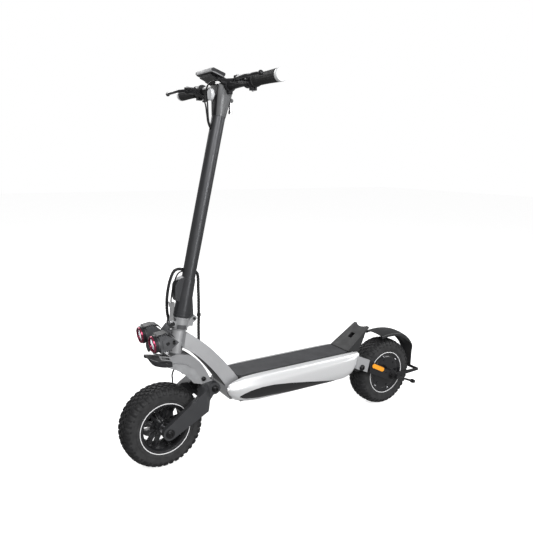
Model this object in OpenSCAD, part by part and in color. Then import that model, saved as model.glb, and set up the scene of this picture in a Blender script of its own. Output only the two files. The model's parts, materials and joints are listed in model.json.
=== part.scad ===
// Electric kick scooter: arched neck, swingarm suspension at both ends,
// folding stem, rear hub motor. Millimetres, +X forward, +Y left, +Z up.
// The floor is z = 0 and x = 0 is midway between the front tyre and the fender.

/* [Wheels] */
// Front axle ahead of the origin
front_axle_x = 469; // [465:1:473]
// Rear axle behind the origin
rear_axle_x = -430; // [-434:1:-426]
// Outer radius of the tyres
wheel_r = 127.5; // [126:0.5:128.5]
// Width of the tyres
tyre_w = 80; // [72:1:82]
// Radius of the rims and of the motor drum
rim_r = 80; // [79:0.5:81]

/* [Steering and stem] */
// Lean of the steering axis from the vertical, in degrees
rake = 12.25; // [12:0.05:12.5]
// Overall width of the handlebar
bar_w = 610; // [580:2:640]
// Height of the grips above the floor
grip_z = 1130; // [1120:1:1140]
// Radius of the stem tube at its foot
stem_r = 20; // [19:0.5:20.5]

/* [Deck] */
// Height of the standing surface
deck_top = 251; // [249:1:253]
// Half width of the deck tray
tray_y = 55; // [54:1:56]
// Half width over the side covers
cover_y = 79; // [76:1:82]

/* [Hidden] */
$fn = 48;

// Radial clearance of a running fit
run_fit = 0.05;
// Gap between faces of bodies that move against each other
gap = 0.3;

// Distances up the steering axis, measured from the front axle
head_w0 = 228;
head_w1 = 299;
base_w0 = head_w1 + gap;
base_w1 = 337;
foot_w0 = base_w1 + gap;
foot_w1 = 455;
tube_w0 = 362;
tube_w1 = 984;
// Where the stem head starts on the tube
head_start = 938;
// Fold hinge, behind the stem, in steering-axis coordinates
fold_u = -36;
fold_w = 338;
// Fold latch pivot, in front of the collar
latch_u = 31;
latch_w = 316;
latch_y0 = 3;
latch_y1 = 13;

// Handlebar: thick in the clamp, then tapered to the grips
bar_x = 252;
bar_flat_y = 50;
bar_taper_y = 104;
bar_bore_y = 140;
bar_fat_r = 12.7;
bar_r = 11.1;
bar_bore_r = 8.6;

// Front suspension pivot
fpiv = [309, 226];
// Rear suspension pivot
rpiv = [-271, 190];
// Kickstand pivot
kpiv = [-455, 118];
// Lamp pivot and lamp centre line
lamp_pivot = [452, 408];
lamp_y = 50;
lamp_half = 24;
lamp_tilt = 7;

tray_x0 = -245;
tray_x1 = 222;
tray_z0 = 165;
lid_z = deck_top - 7.5;
mat_z = deck_top - 3.5;

// ---------- helpers ----------
function lerp(a, b, t) = a + (b - a) * t;
function bez(a, b, c, d, n = 8) = [
    for (i = [0:n])
        let (t = i / n, s = 1 - t)
            s * s * s * a + 3 * s * s * t * b + 3 * s * t * t * c + t * t * t * d
];
function arc(cx, cz, r, a0, a1, n = 8) = [
    for (i = [0:n])
        let (a = lerp(a0, a1, i / n)) [cx + r * cos(a), cz + r * sin(a)]
];
function reversed(p) = [for (i = [len(p) - 1:-1:0]) p[i]];

// Outline in the XZ plane, extruded from y0 to y1
module slab(pts, y0, y1) {
    translate([0, y1, 0])
        rotate([90, 0, 0])
            linear_extrude(height = y1 - y0)
                polygon(pts);
}
// Cylinder along Y through the point p = [x, z]
module ycyl(p, r, y0, y1, fn = $fn) {
    translate([p[0], y0, p[1]])
        rotate([-90, 0, 0])
            cylinder(r = r, h = y1 - y0, $fn = fn);
}
// The same shape on the left and on the right
module both() {
    children();
    mirror([0, 1, 0])
        children();
}
// Local frame of the steering axis: X forward, Z up the axis, origin at the front axle
module steer() {
    translate([front_axle_x, 0, wheel_r])
        rotate([0, -rake, 0])
            children();
}
// Local frame of a wheel: Z along -Y, so positive z is the right-hand side
module wheel_at(x) {
    translate([x, 0, wheel_r])
        rotate([90, 0, 0])
            children();
}
// Straight round bar between two points
module rod(a, b, r1, r2) {
    d = b - a;
    len_ab = norm(d);
    translate(a)
        rotate([0, acos(d[2] / len_ab), atan2(d[1], d[0])])
            cylinder(r1 = r1, r2 = r2, h = len_ab);
}

// ---------- cord sweep ----------
function unit(v) = v / max(norm(v), 0.000001);
function side_of(t) = unit(cross(t, abs(t[1]) < 0.8 ? [0, 1, 0] : [1, 0, 0]));
function tangent(p, i) = unit(p[min(i + 1, len(p) - 1)] - p[max(i - 1, 0)]);
// Catmull-Rom smoothing of a hand-set route
function smooth(p, n) = concat(
    [for (i = [0:len(p) - 2], k = [0:n - 1])
        let (
            a = p[max(i - 1, 0)], b = p[i], c = p[i + 1], d = p[min(i + 2, len(p) - 1)],
            t = k / n
        )
        0.5 * (2 * b + (c - a) * t + (2 * a - 5 * b + 4 * c - d) * t * t
            + (3 * b - a - 3 * c + d) * t * t * t)],
    [p[len(p) - 1]]
);
module cord(route, r, sides = 8, steps = 3) {
    p = smooth(route, steps);
    m = len(p);
    pts = [for (i = [0:m - 1], k = [0:sides - 1])
        let (t = tangent(p, i), u = side_of(t), v = cross(t, u), a = 360 * k / sides)
            p[i] + r * (cos(a) * u + sin(a) * v)];
    walls = [for (i = [0:m - 2], k = [0:sides - 1])
        let (k2 = (k + 1) % sides)
            [(i + 1) * sides + k, (i + 1) * sides + k2, i * sides + k2, i * sides + k]];
    cap_a = [for (k = [0:sides - 1]) k];
    cap_b = [for (k = [sides - 1:-1:0]) (m - 1) * sides + k];
    polyhedron(points = pts, faces = concat([cap_a], walls, [cap_b]));
}

// ---------- neck and deck ----------
neck_half = 38;
// Charging socket on the right-hand side of the neck, and its cap's hinge pin
cap_c = [300, 300];
cap_pin_y = 3.2;
cap_pin_z = 17;
cap_pin_r = 1.2;
neck_top = bez([398, 417], [340, 385], [275, 315], [225, 245], 10);
neck_low = bez([268, 225], [303, 280], [360, 345], [406, 370], 10);
neck_foot = [[222, 243], [222, 172], [250, 172], [262, 200]];
inner_top = bez([388, 402], [336, 374], [276, 306], [236, 240], 8);
inner_low = bez([262, 230], [298, 284], [350, 344], [392, 372], 8);

module neck_frame() {
    color("silver")
    difference() {
        union() {
            slab(concat(neck_top, neck_foot, neck_low), -neck_half, neck_half);
            steer()
                translate([0, 0, head_w0])
                    cylinder(r = 22, h = head_w1 - head_w0);
            // lugs and pin of the charging cap
            translate([cap_c[0], -neck_half - cap_pin_y, cap_c[1] + cap_pin_z]) {
                for (x = [-8.3, 5.3])
                    translate([x, -2.4, -3])
                        cube([3, 2.4 + cap_pin_y, 6]);
                translate([-8, 0, 0])
                    rotate([0, 90, 0])
                        cylinder(r = cap_pin_r, h = 16);
            }
        }
        // charging socket
        translate([cap_c[0], -neck_half - 1, cap_c[1]])
            rotate([-90, 0, 0])
                cylinder(r = 8, h = 3);
        slab(concat(inner_top, inner_low), -neck_half + 4, neck_half - 4);
        steer() {
            translate([0, 0, head_w0 - 30])
                cylinder(r = 16.5, h = head_w1 - head_w0 + 60);
            translate([0, 0, head_w0 - 20])
                cylinder(r = 19, h = 28);
            translate([0, 0, head_w1 - 8])
                cylinder(r = 19, h = 28);
            // clears the steering collar and the arch
            translate([0, 0, head_w1])
                cylinder(r = 40, h = 30);
            translate([0, 0, head_w0 - 30])
                cylinder(r = 32, h = 30);
        }
        // cable passage into the tray
        translate([200, 0, 215])
            rotate([0, 90, 0])
                cylinder(r = 9, h = 45);
        // cable gland on top of the neck
        translate([340, 0, 350])
            cylinder(r = 7, h = 60);
    }
}

module headset_bearings() {
    color("dimgray")
    steer()
        for (w = [head_w0 + 0.5, head_w1 - 7.5])
            translate([0, 0, w])
                difference() {
                    cylinder(r = 19, h = 7);
                    translate([0, 0, -1])
                        cylinder(r = 14 + run_fit, h = 9);
                }
}

module deck_tray() {
    wall = 4;
    color("dimgray")
    difference() {
        translate([tray_x0, -tray_y, tray_z0])
            cube([tray_x1 - tray_x0, 2 * tray_y, lid_z - tray_z0]);
        translate([tray_x0 + wall, -tray_y + wall, tray_z0 + wall])
            cube([tray_x1 - tray_x0 - 2 * wall, 2 * (tray_y - wall), 100]);
        translate([tray_x1 - 10, 0, 215])
            rotate([0, 90, 0])
                cylinder(r = 9, h = 20);
        for (x = [tray_x0 + 30, tray_x0 + 60])
            translate([x, -tray_y - 1, 185])
                rotate([-90, 0, 0])
                    cylinder(r = 4, h = 10);
    }
}

lid_screws = [for (x = [-220, -75, 70, 205], s = [-1, 1]) [x, s * 45]];

module deck_lid() {
    color("gray")
    difference() {
        translate([tray_x0, -tray_y, lid_z])
            cube([tray_x1 - tray_x0, 2 * tray_y, mat_z - lid_z]);
        for (s = lid_screws)
            translate([s[0], s[1], lid_z - 1])
                cylinder(r = 2.6, h = 10);
    }
}

module deck_mat() {
    half = 49;
    x0 = tray_x0 + 24;
    x1 = tray_x1 + 3;
    color([0.16, 0.16, 0.17])
    translate([0, 0, mat_z])
        linear_extrude(height = deck_top - mat_z)
            polygon([[x0, -half], [x1 - 8, -half], [x1, -half + 8], [x1, half - 8],
                [x1 - 8, half], [x0, half]]);
}

// Smooth side cover body, grown by g on every side
module cover_body(g) {
    // [x, low z, high z, half width]
    stations = [[-266, 236, 243, 62], [-262, 222, 246, 70], [-232, 164, 248, 74],
        [-190, 156, 249, cover_y], [150, 158, 249, cover_y], [205, 163, 247, cover_y - 3],
        [240, 173, 240, 72], [262, 190, 231, 66], [270, 205, 224, 61]];
    hull()
        for (s = stations) {
            mid = (s[1] + s[2]) / 2;
            h = (s[2] - s[1]) / 2 + g;
            w = s[3] + g;
            translate([s[0], 0, 0])
                rotate([90, 0, 90])
                    linear_extrude(height = 0.5)
                        polygon([[40, mid + h], [w - 17, mid + h], [w - 7, mid + 0.88 * h],
                            [w - 1.6, mid + 0.55 * h], [w, mid + 0.1 * h],
                            [w - 2.5, mid - 0.4 * h], [w - 10, mid - 0.78 * h],
                            [w - 22, mid - h], [40, mid - h]]);
        }
}

module side_cover() {
    color("gainsboro")
    difference() {
        cover_body(0);
        cover_body(-3);
        translate([-300, -200, 100])
            cube([600, 200 + tray_y + gap, 200]);
        // the pivot block passes through the rear end
        slab(pivot_block, tray_y, 76 + gap);
        slab(pivot_foot, tray_y, tray_y + 7);
    }
}

module side_cover_left() {
    side_cover();
}

module side_cover_right() {
    mirror([0, 1, 0])
        side_cover();
}

// Dark blade let into the lower half of each cover
module side_trims() {
    blade = concat([[238, 180], [222, 194], [196, 206]],
        bez([165, 217], [120, 214], [40, 196], [-163, 166], 8),
        [[-150, 140], [230, 140]]);
    color([0.1, 0.1, 0.11])
    both()
        intersection() {
            difference() {
                cover_body(1.6);
                cover_body(0);
                translate([-300, -200, 100])
                    cube([600, 200 + tray_y + 6, 200]);
            }
            slab(blade, 40, 100);
        }
}

module battery_pack() {
    cell_r = 10.5;
    color("royalblue")
    difference() {
        translate([-215, -47, 172])
            cube([320, 94, 62]);
        for (i = [0:13], s = [-1, 1])
            translate([-204 + i * 23, s * 24, 231])
                cylinder(r = cell_r, h = 4);
    }
}

module motor_controller() {
    color("darkgray") {
        translate([116, -40, 172])
            cube([92, 80, 26]);
        for (i = [0:8])
            translate([116, -38 + i * 9, 198])
                cube([92, 3, 10]);
    }
}

kick_angle = 34.8;
kick_len = 128;

module kick_frame() {
    translate([-225, 0, deck_top + 1.2])
        rotate([0, 180 + kick_angle, 0])
            children();
}

module kick_plate() {
    web = [[-222, 252], [-246, 247.6], [-262, 238], [-272, 238], [-298, 272], [-306, 290], [-330, 330],
        [-300, 330]];
    hook_slot = [56, 80];
    color([0.3, 0.3, 0.31]) {
        kick_frame()
            linear_extrude(height = 5)
                difference() {
                    polygon([[0, -49], [kick_len - 6, -40], [kick_len, -38], [kick_len, 38],
                        [kick_len - 6, 40], [0, 49]]);
                    translate([kick_len + 32, 0])
                        circle(r = 42);
                    translate([hook_slot[0], -10])
                        square([hook_slot[1] - hook_slot[0], 20]);
                }
        both()
            intersection() {
                kick_frame()
                    translate([0, 0, 5])
                        linear_extrude(height = 70)
                            polygon([[0, 49], [kick_len, 38], [kick_len, 34], [0, 45]]);
                slab(web, 20, 60);
            }
        // cross rib between the two webs, behind the plate
        kick_frame()
            translate([88, -38, 5])
                cube([4, 76, 16]);
        // foot flange that is bolted to the tray
        difference() {
            translate([-244, -44, mat_z])
                cube([22.8, 88, 3.2]);
            for (s = [-1, 1])
                translate([-236, s * 24, mat_z - 1])
                    cylinder(r = 2.6, h = 6);
        }
    }
}

pivot_block = [[-250, 237], [-309, 211], [-298, 167], [-245, 190]];
pivot_foot = [[-250, 237], [-250, 188], [-215, 184], [-215, 226]];
module rear_pivot_blocks() {
    color("silver")
    both()
        difference() {
            union() {
                slab(pivot_block, tray_y + 5, 76);
                slab(pivot_foot, tray_y, tray_y + 7);
            }
            ycyl(rpiv, 8, 40, 90);
            // clears the swingarm eye
            ycyl(rpiv, 22, 40, tray_y + 5);
            slab([[-330, 240], [-330, 150], [-246, 150], [-246, 240]], 40, tray_y + 5);
        }
}

module chassis_bolts() {
    color("dimgray") {
        // lid screws
        for (s = lid_screws)
            translate([s[0], s[1], lid_z - 6])
                cylinder(r = 2.55, h = mat_z - lid_z + 6);
        // rear suspension pivot pin with its heads
        ycyl(rpiv, 8, -76, 76);
        both() {
            ycyl(rpiv, 11, 76, 79);
            ycyl(rpiv, 7, 79, 81, 6);
        }
    }
}

module charge_port_cap() {
    color([0.1, 0.1, 0.1])
    mirror([0, 1, 0])
        difference() {
            union() {
                ycyl(cap_c, 12, neck_half + gap, neck_half + 5);
                slab([[cap_c[0] - 5, cap_c[1]], [cap_c[0] - 5, cap_c[1] + 17],
                    [cap_c[0] + 5, cap_c[1] + 17], [cap_c[0] + 5, cap_c[1]]],
                    neck_half + gap, neck_half + 4);
                translate([cap_c[0] - 5, neck_half + cap_pin_y, cap_c[1] + cap_pin_z])
                    rotate([0, 90, 0])
                        cylinder(r = 2.8, h = 10);
            }
            translate([cap_c[0] - 6, neck_half + cap_pin_y, cap_c[1] + cap_pin_z])
                rotate([0, 90, 0])
                    cylinder(r = cap_pin_r + run_fit, h = 12);
        }
}

// ---------- steering ----------
arch_half = 28;
// Mudguard bolt through the arch
guard_bolt = [338, 257];
arch_top = bez([446, 346], [380, 366], [338, 310], [314, 250], 10);
arch_low = bez([350, 248], [360, 300], [392, 322], [448, 329], 8);

module fork_arch() {
    color("gray")
    difference() {
        union() {
            slab(concat(arch_top, arc(fpiv[0], fpiv[1], 20, 150, 290, 6), [[338, 214]],
                arch_low), -arch_half, arch_half);
            steer()
                translate([0, 0, 205])
                    cylinder(r = 14, h = base_w1 - 205 - 8);
        }
        // flat under the lower headset bearing
        steer()
            translate([0, 0, head_w0 - gap])
                difference() {
                    cylinder(r = 60, h = 40);
                    translate([0, 0, -1])
                        cylinder(r = 14, h = 42);
                }
        ycyl(fpiv, 6, -60, 60);
        // bore of the mudguard bolt
        ycyl(guard_bolt, 5, -60, 60);
    }
}

module fold_base() {
    color("gray")
    steer()
        difference() {
            union() {
                translate([0, 0, base_w0])
                    cylinder(r = 25, h = base_w1 - base_w0);
                // rear ears of the fold hinge
                for (s = [-1, 1])
                    translate([0, s > 0 ? 8.3 : -16.3, 0])
                        translate([fold_u, 0, fold_w - 24])
                            cube([30, 8, 16]);
                for (s = [-1, 1])
                    translate([0, s > 0 ? 16.3 : -8.3, 0])
                        rotate([90, 0, 0])
                            linear_extrude(height = 8)
                                polygon(concat([[-18, 306], [-22, 334]],
                                    arc(fold_u, fold_w, 9, 100, 230, 8)));
                // front ears of the latch
                for (y = [latch_y0 - 4, latch_y1 + gap])
                    translate([0, y + 3.7, 0])
                        rotate([90, 0, 0])
                            linear_extrude(height = 3.7)
                                polygon(concat([[14, 326], [14, 304]],
                                    arc(latch_u, latch_w, 7, -70, 80, 6)));
            }
            // steerer bore
            translate([0, 0, base_w0 - 1])
                cylinder(r = 14, h = base_w1 - base_w0 - 7);
            translate([fold_u, -30, fold_w])
                rotate([-90, 0, 0])
                    cylinder(r = 4.5, h = 60);
            translate([latch_u, -30, latch_w])
                rotate([-90, 0, 0])
                    cylinder(r = 3, h = 60);
            // room for the tongue of the stem foot
            translate([-60, -8.3, fold_w - 13])
                cube([40, 16.6, 40]);
            // room for the latch blade
            translate([16, latch_y0 - gap, 300])
                cube([20, latch_y1 - latch_y0 + 2 * gap, 60]);
        }
}

module pivot_pins() {
    color("silver") {
        // suspension pivot
        ycyl(fpiv, 6, -52, 52);
        both() {
            ycyl(fpiv, 11, 50 + gap, 54);
            ycyl(fpiv, 6.5, 54, 56.5, 6);
        }
        // mudguard bolt
        ycyl(guard_bolt, 5, -31, 31);
        both()
            ycyl(guard_bolt, 7, arch_half, arch_half + 4);
        steer() {
            // fold hinge pin
            translate([fold_u, -19, fold_w])
                rotate([-90, 0, 0])
                    cylinder(r = 4.5, h = 38);
            // latch pin with its round head
            translate([latch_u, latch_y0 - 5, latch_w])
                rotate([-90, 0, 0])
                    cylinder(r = 3, h = 20);
            translate([latch_u, latch_y1 + 4, latch_w])
                rotate([-90, 0, 0])
                    cylinder(r = 6.5, h = 3.5);
        }
    }
}

module fold_latch() {
    color("silver")
    steer()
        difference() {
            union() {
                translate([0, latch_y1, 0])
                    rotate([90, 0, 0])
                        linear_extrude(height = latch_y1 - latch_y0)
                            polygon(concat(arc(latch_u, latch_w, 6.5, -180, 0, 8),
                                [[latch_u + 8, 340], [latch_u + 14, 372], [latch_u + 12, 380],
                                [latch_u + 4, 380], [latch_u + 3, 376], [latch_u + 2, 345]]));
                // thumb pad
                translate([latch_u + 10, latch_y0 - 1, 366])
                    rotate([0, 20, 0])
                        cube([5, latch_y1 - latch_y0 + 2, 15]);
            }
            translate([latch_u, -30, latch_w])
                rotate([-90, 0, 0])
                    cylinder(r = 3 + run_fit, h = 60);
        }
}

module front_mudguard() {
    outer = concat([[508, 349], [504, 341], [480, 331]],
        bez([450, 316], [420, 304], [396, 280], [378, 256], 6),
        [[350, 248]], bez([350, 248], [360, 300], [392, 322], [448, 329], 8), [[482, 340]]);
    inner = concat([[520, 330], [503, 340], [481, 335]],
        reversed(bez([353, 247], [363, 297], [394, 318], [449, 325], 8)), [[350, 200], [520, 200]]);
    color("darkgray")
    difference() {
        intersection() {
            slab(outer, -45, 45);
            linear_extrude(height = 400)
                polygon([[340, -45], [340, 45], [462, 45], [494, 34], [510, 16], [510, -16],
                    [494, -34], [462, -45]]);
        }
        slab(inner, -42.5, 42.5);
    }
}

// Rubber buffer under the arch that the swingarm closes on
module front_buffer() {
    color([0.08, 0.08, 0.08])
        difference() {
            slab([[340, 214.6], [352, 219], [358, 240], [352, 247.6], [350, 247.8], [338.4, 214.6]],
                -26, 26);
            for (z = [224, 232, 240])
                slab([[356, z], [362, z + 3], [362, z - 3]], -30, 30);
        }
}

module lamp_bracket() {
    color([0.25, 0.25, 0.26])
    difference() {
        union() {
            // clamp ring on the collar
            steer()
                translate([0, 0, 304])
                    cylinder(r = 29, h = 12);
            // tongue forward and down to the cross bar
            slab([[425, 428], [441, 441], [456, 424], [462, 404], [450, 400], [443, 412],
                [432, 422]], -15, 15);
            slab([[444, 402], [444, 414], [458, 414], [460, 402]], -lamp_y + lamp_half + gap,
                lamp_y - lamp_half - gap);
            both()
                ycyl(lamp_pivot, 4, 20, lamp_y - lamp_half + 14);
            // gland of the lamp cable
            translate([432, -13.5, 429])
                cylinder(r = 6.5, h = 17);
        }
        translate([432, -13.5, 437])
            cylinder(r = 5, h = 12);
        steer() {
            translate([0, 0, 300])
                cylinder(r = 25, h = 20);
            translate([-60, -30, 300])
                cube([50, 60, 20]);
            // clears the latch ears and the blade
            translate([10, latch_y0 - 5, 296])
                cube([32, latch_y1 - latch_y0 + 15, 60]);
        }
    }
}

module horn() {
    color([0.07, 0.07, 0.08])
    translate([478, -9, 378])
        rotate([0, 97, 0]) {
            cylinder(r = 12, h = 18);
            translate([0, 0, 18])
                cylinder(r1 = 12, r2 = 15, h = 5);
            translate([-18, -4, 2])
                cube([10, 8, 3]);
        }
}

// Frame of the left lamp, tilted, with its origin at the lamp pivot
module lamp_frame() {
    translate([lamp_pivot[0], lamp_y, lamp_pivot[1]])
        rotate([0, lamp_tilt, 0])
            children();
}

module lamp_housing() {
    body = [[42, 25], [20, 25], [-4, 6], [-15, -6], [12, -21], [42, -23]];
    color("darkgray")
    difference() {
        lamp_frame()
            union() {
                slab(body, -lamp_half, lamp_half);
                translate([40, 0, 1])
                    rotate([0, 90, 0])
                        cylinder(r = 24.5, h = 17);
                // side cheek with its adjusting screw
                slab([[34, 14], [14, 18], [4, 4], [14, -12], [34, -12]], lamp_half,
                    lamp_half + 2);
                // cooling fins
                for (i = [0:3])
                    translate([14 + i * 6, -20, 24])
                        cube([2.5, 40, 4]);
            }
        lamp_frame()
            translate([44, 0, 1])
                rotate([0, 90, 0])
                    cylinder(r = 21, h = 20);
        ycyl(lamp_pivot, 4 + run_fit, -100, 100);
    }
}

module lamp_lens() {
    color("white")
    lamp_frame()
        translate([44, 0, 1])
            rotate([0, 90, 0]) {
                cylinder(r1 = 12, r2 = 20.5, h = 8);
                translate([0, 0, 8])
                    cylinder(r = 20.8, h = 3);
            }
}

module lamp_left() {
    lamp_housing();
}

module lamp_right() {
    mirror([0, 1, 0])
        lamp_housing();
}

module lamp_left_lens() {
    lamp_lens();
}

module lamp_right_lens() {
    mirror([0, 1, 0])
        lamp_lens();
}

// ---------- front suspension and wheel ----------
front_axle_p = [front_axle_x, wheel_r];
// Inner and outer faces of the swingarm blades
arm_y0 = 58;
arm_y1 = 74;

module front_swingarm() {
    near_ear = [[330, 241], [346, 240], [362, 227], [338, 190], [326, 192]];
    far_end = [[352, 234], [374, 220], [363, 160], [343, 169]];
    blade = concat([[352, 234], [374, 220]], arc(front_axle_x, wheel_r, 21, 60, -115, 10),
        [[363, 158], [343, 169]]);
    color([0.33, 0.33, 0.34])
    difference() {
        union() {
            both() {
                slab(blade, arm_y0, arm_y1);
                slab(concat(arc(fpiv[0], fpiv[1], 19, 85, 285, 8), [[326, 192], [338, 190],
                    [362, 227], [346, 240]]), arch_half + gap, 50);
                hull() {
                    slab(near_ear, 36, 50);
                    slab(far_end, arm_y0, arm_y1);
                }
            }
            // cross plate that meets the buffer
            slab([[330, 194], [350, 194], [350, 203], [330, 206]], -40, 40);
        }
        ycyl(fpiv, 6 + run_fit, -90, 90);
        ycyl(front_axle_p, 6, -90, 90);
    }
}

module front_axle() {
    color("silver") {
        ycyl(front_axle_p, 6, -80, 80);
        both() {
            // wheel spacer
            difference() {
                ycyl(front_axle_p, 9, 30.3, 58);
                ycyl(front_axle_p, 6, 30, 60);
            }
            difference() {
                ycyl(front_axle_p, 14, 74, 75.5);
                ycyl(front_axle_p, 6, 73, 77);
            }
            difference() {
                ycyl(front_axle_p, 10, 75.5, 79.5, 6);
                ycyl(front_axle_p, 6, 73, 81);
            }
        }
    }
}

disc_r = 60;
disc_z = 46;
// Caliper over the disc, in a wheel's local frame at angle a: its body ends at outer and
// its boss reaches the swingarm plate
module caliper(a, outer, plate) {
    color("dimgray")
    rotate([0, 0, a])
        difference() {
            union() {
                translate([40, -20, disc_z - 3])
                    cube([30, 40, outer - disc_z + 3]);
                translate([62, -26, disc_z + 1])
                    cube([12, 52, outer - disc_z - 1]);
                translate([55, 0, outer])
                    cylinder(r = 11, h = plate - outer);
            }
            translate([30, -30, disc_z - 0.9])
                cube([disc_r - 30 + 4, 60, 3.8]);
            for (s = [-1, 1])
                translate([68, s * 21, 40])
                    cylinder(r = 2.6, h = 20);
        }
}

module disc() {
    color("silver")
    translate([0, 0, disc_z])
        difference() {
            cylinder(r = disc_r, h = 2);
            translate([0, 0, -1])
                cylinder(r = 16, h = 4);
            for (i = [0:5]) {
                rotate([0, 0, i * 60])
                    translate([22, 0, -1])
                        cylinder(r = 2.6, h = 4);
                rotate([0, 0, i * 60 + 30])
                    translate([36, 0, -1])
                        cylinder(r = 9, h = 4);
                for (k = [-1, 1])
                    rotate([0, 0, i * 60 + 14 * k])
                        translate([53, 0, -1])
                            cylinder(r = 3, h = 4);
            }
        }
}

module front_caliper() {
    wheel_at(front_axle_x)
        caliper(118, 55, arm_y0);
}

module front_disc() {
    wheel_at(front_axle_x)
        disc();
}

module rear_disc() {
    wheel_at(rear_axle_x)
        disc();
}

// Rim profile: radius outward, wheel width up
rim_profile = [[66, -29], [70, -36], [rim_r, -38], [rim_r, -35.5], [74, -32], [71, -18],
    [71, 18], [74, 32], [rim_r, 35.5], [rim_r, 38], [70, 36], [66, 29], [67.5, 0]];

module front_rim() {
    spokes = 6;
    color([0.12, 0.12, 0.13])
    wheel_at(front_axle_x)
        difference() {
            union() {
                rotate_extrude($fn = 96)
                    polygon(rim_profile);
                translate([0, 0, -29])
                    cylinder(r = 24, h = 58);
                translate([0, 0, 28])
                    cylinder(r = 28, h = 18);
                for (i = [0:spokes - 1], k = [-1, 1])
                    rotate([0, 0, i * 360 / spokes + 5 * k])
                        translate([18, k * 6 - 4, -9])
                            cube([51, 8, 18]);
            }
            translate([0, 0, -40])
                cylinder(r = 12, h = 100);
            for (z = [-30, 22])
                translate([0, 0, z])
                    cylinder(r = 16, h = 8);
            translate([0, 0, 30])
                cylinder(r = 16, h = 20);
        }
}

module front_bearings() {
    color("silver")
    wheel_at(front_axle_x)
        for (z = [-30, 22])
            translate([0, 0, z])
                difference() {
                    cylinder(r = 16, h = 8);
                    translate([0, 0, -1])
                        cylinder(r = 6 + run_fit, h = 10);
                }
}

// Tyre section: radius outward, width up, open towards the rim
module tyre() {
    half = tyre_w / 2;
    crown = wheel_r;
    outer = concat([[74.5, 31.9], [rim_r + 0.3, 35.2], [rim_r + 0.6, 37.6]],
        bez([84, half - 1.5], [94, half + 0.2], [114, half + 0.2], [120, half - 5], 5),
        [[crown - 3, half - 11], [crown, half - 21]]);
    inner = [[118, 0], [117, 18], [111, 30], [98, 34], [86, 32.5], [75, 28]];
    mirrored_outer = [for (p = reversed(outer)) [p[0], -p[1]]];
    mirrored_inner = [for (p = reversed(inner)) [p[0], -p[1]]];
    color([0.2, 0.2, 0.2])
    rotate_extrude($fn = 120)
        polygon(concat(outer, mirrored_outer, mirrored_inner, inner));
}

module front_tyre() {
    wheel_at(front_axle_x)
        tyre();
}

module rear_tyre() {
    wheel_at(rear_axle_x)
        tyre();
}

module front_brake_hose() {
    route = [[396, -37, 303], [400, -37.5, 294], [404, -39, 283], [407, -46, 269], [408, -52, 254],
        [406, -54, 236], [408, -53, 214], [417, -51, 199]];
    color([0.06, 0.06, 0.06])
        cord(route, 2.4, 8, 3);
}

// ---------- rear suspension and motor ----------
rear_axle_p = [rear_axle_x, wheel_r];

module rear_swingarm() {
    inner = concat(arc(rpiv[0], rpiv[1], 20, -110, 80, 8), [[-315, 208], [-410, 152]],
        arc(rear_axle_x, wheel_r, 24, 60, 150, 4), arc(kpiv[0], kpiv[1], 12, 130, 260, 4),
        arc(rear_axle_x, wheel_r, 24, 240, 290, 3), [[-345, 143], [-318, 157]]);
    outer = concat([[-314, 206], [-410, 150]], arc(rear_axle_x, wheel_r, 22, 60, 290, 8),
        [[-345, 145], [-318, 158]]);
    color([0.1, 0.1, 0.11])
    difference() {
        union() {
            both() {
                slab(inner, 52, tray_y + 5 - gap);
                slab(outer, tray_y + 4, 70);
                // stay that carries the tail of the fender
                slab([[-455, 126], [-455, 108], [-587, 112], [-587, 122]], 53, 57);
            }
            ycyl(rpiv, 14, -52, 52);
            translate([-589, -57, 112])
                cube([4, 114, 10]);
            // kickstand boss
            ycyl(kpiv, 5, 52, 78);
            ycyl(kpiv, 11, 52, 70);
            ycyl(kpiv, 8, 78, 81);
        }
        ycyl(rpiv, 8 + run_fit, -90, 90);
        ycyl(rear_axle_p, 7, -90, 90);
    }
}

module motor_axle() {
    color("silver") {
        ycyl(rear_axle_p, 7, -80, 80);
        both() {
            // bearing
            difference() {
                ycyl(rear_axle_p, 14 - run_fit, 28, 36);
                ycyl(rear_axle_p, 7, 20, 40);
            }
            // washer and nut
            difference() {
                ycyl(rear_axle_p, 15, 70, 71.5);
                ycyl(rear_axle_p, 7, 60, 80);
            }
            difference() {
                ycyl(rear_axle_p, 11, 71.5, 77.5, 6);
                ycyl(rear_axle_p, 7, 60, 80);
            }
        }
        // stator with its slots
        difference() {
            ycyl(rear_axle_p, 60, -18, 18);
            ycyl(rear_axle_p, 7, -20, 20);
            for (i = [0:17])
                translate([rear_axle_x, 0, wheel_r])
                    rotate([0, i * 20, 0])
                        translate([48, -20, -2])
                            cube([14, 40, 4]);
        }
    }
}

module motor_shell() {
    shell = [[14, 36], [58, 37], [64, 34], [70, 36], [rim_r, 38], [rim_r, 35.5], [74, 32],
        [74, -32], [rim_r, -35.5], [rim_r, -38], [70, -36], [64, -34], [58, -37], [14, -36],
        [14, -31], [60, -30], [66, -26], [66, 26], [60, 30], [14, 31]];
    color([0.08, 0.08, 0.09])
    wheel_at(rear_axle_x) {
        rotate_extrude($fn = 96)
            polygon(shell);
        // cover bolts
        for (i = [0:5], s = [-1, 1])
            rotate([0, 0, i * 60 + 20])
                translate([52, 0, s > 0 ? 36.5 : -39.5])
                    cylinder(r = 4, h = 3);
        // disc carrier
        difference() {
            translate([0, 0, 36])
                cylinder(r = 28, h = 10);
            translate([0, 0, 30])
                cylinder(r = 16, h = 20);
        }
    }
}

module rear_caliper() {
    wheel_at(rear_axle_x)
        caliper(25, 50.5, 52);
}

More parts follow.
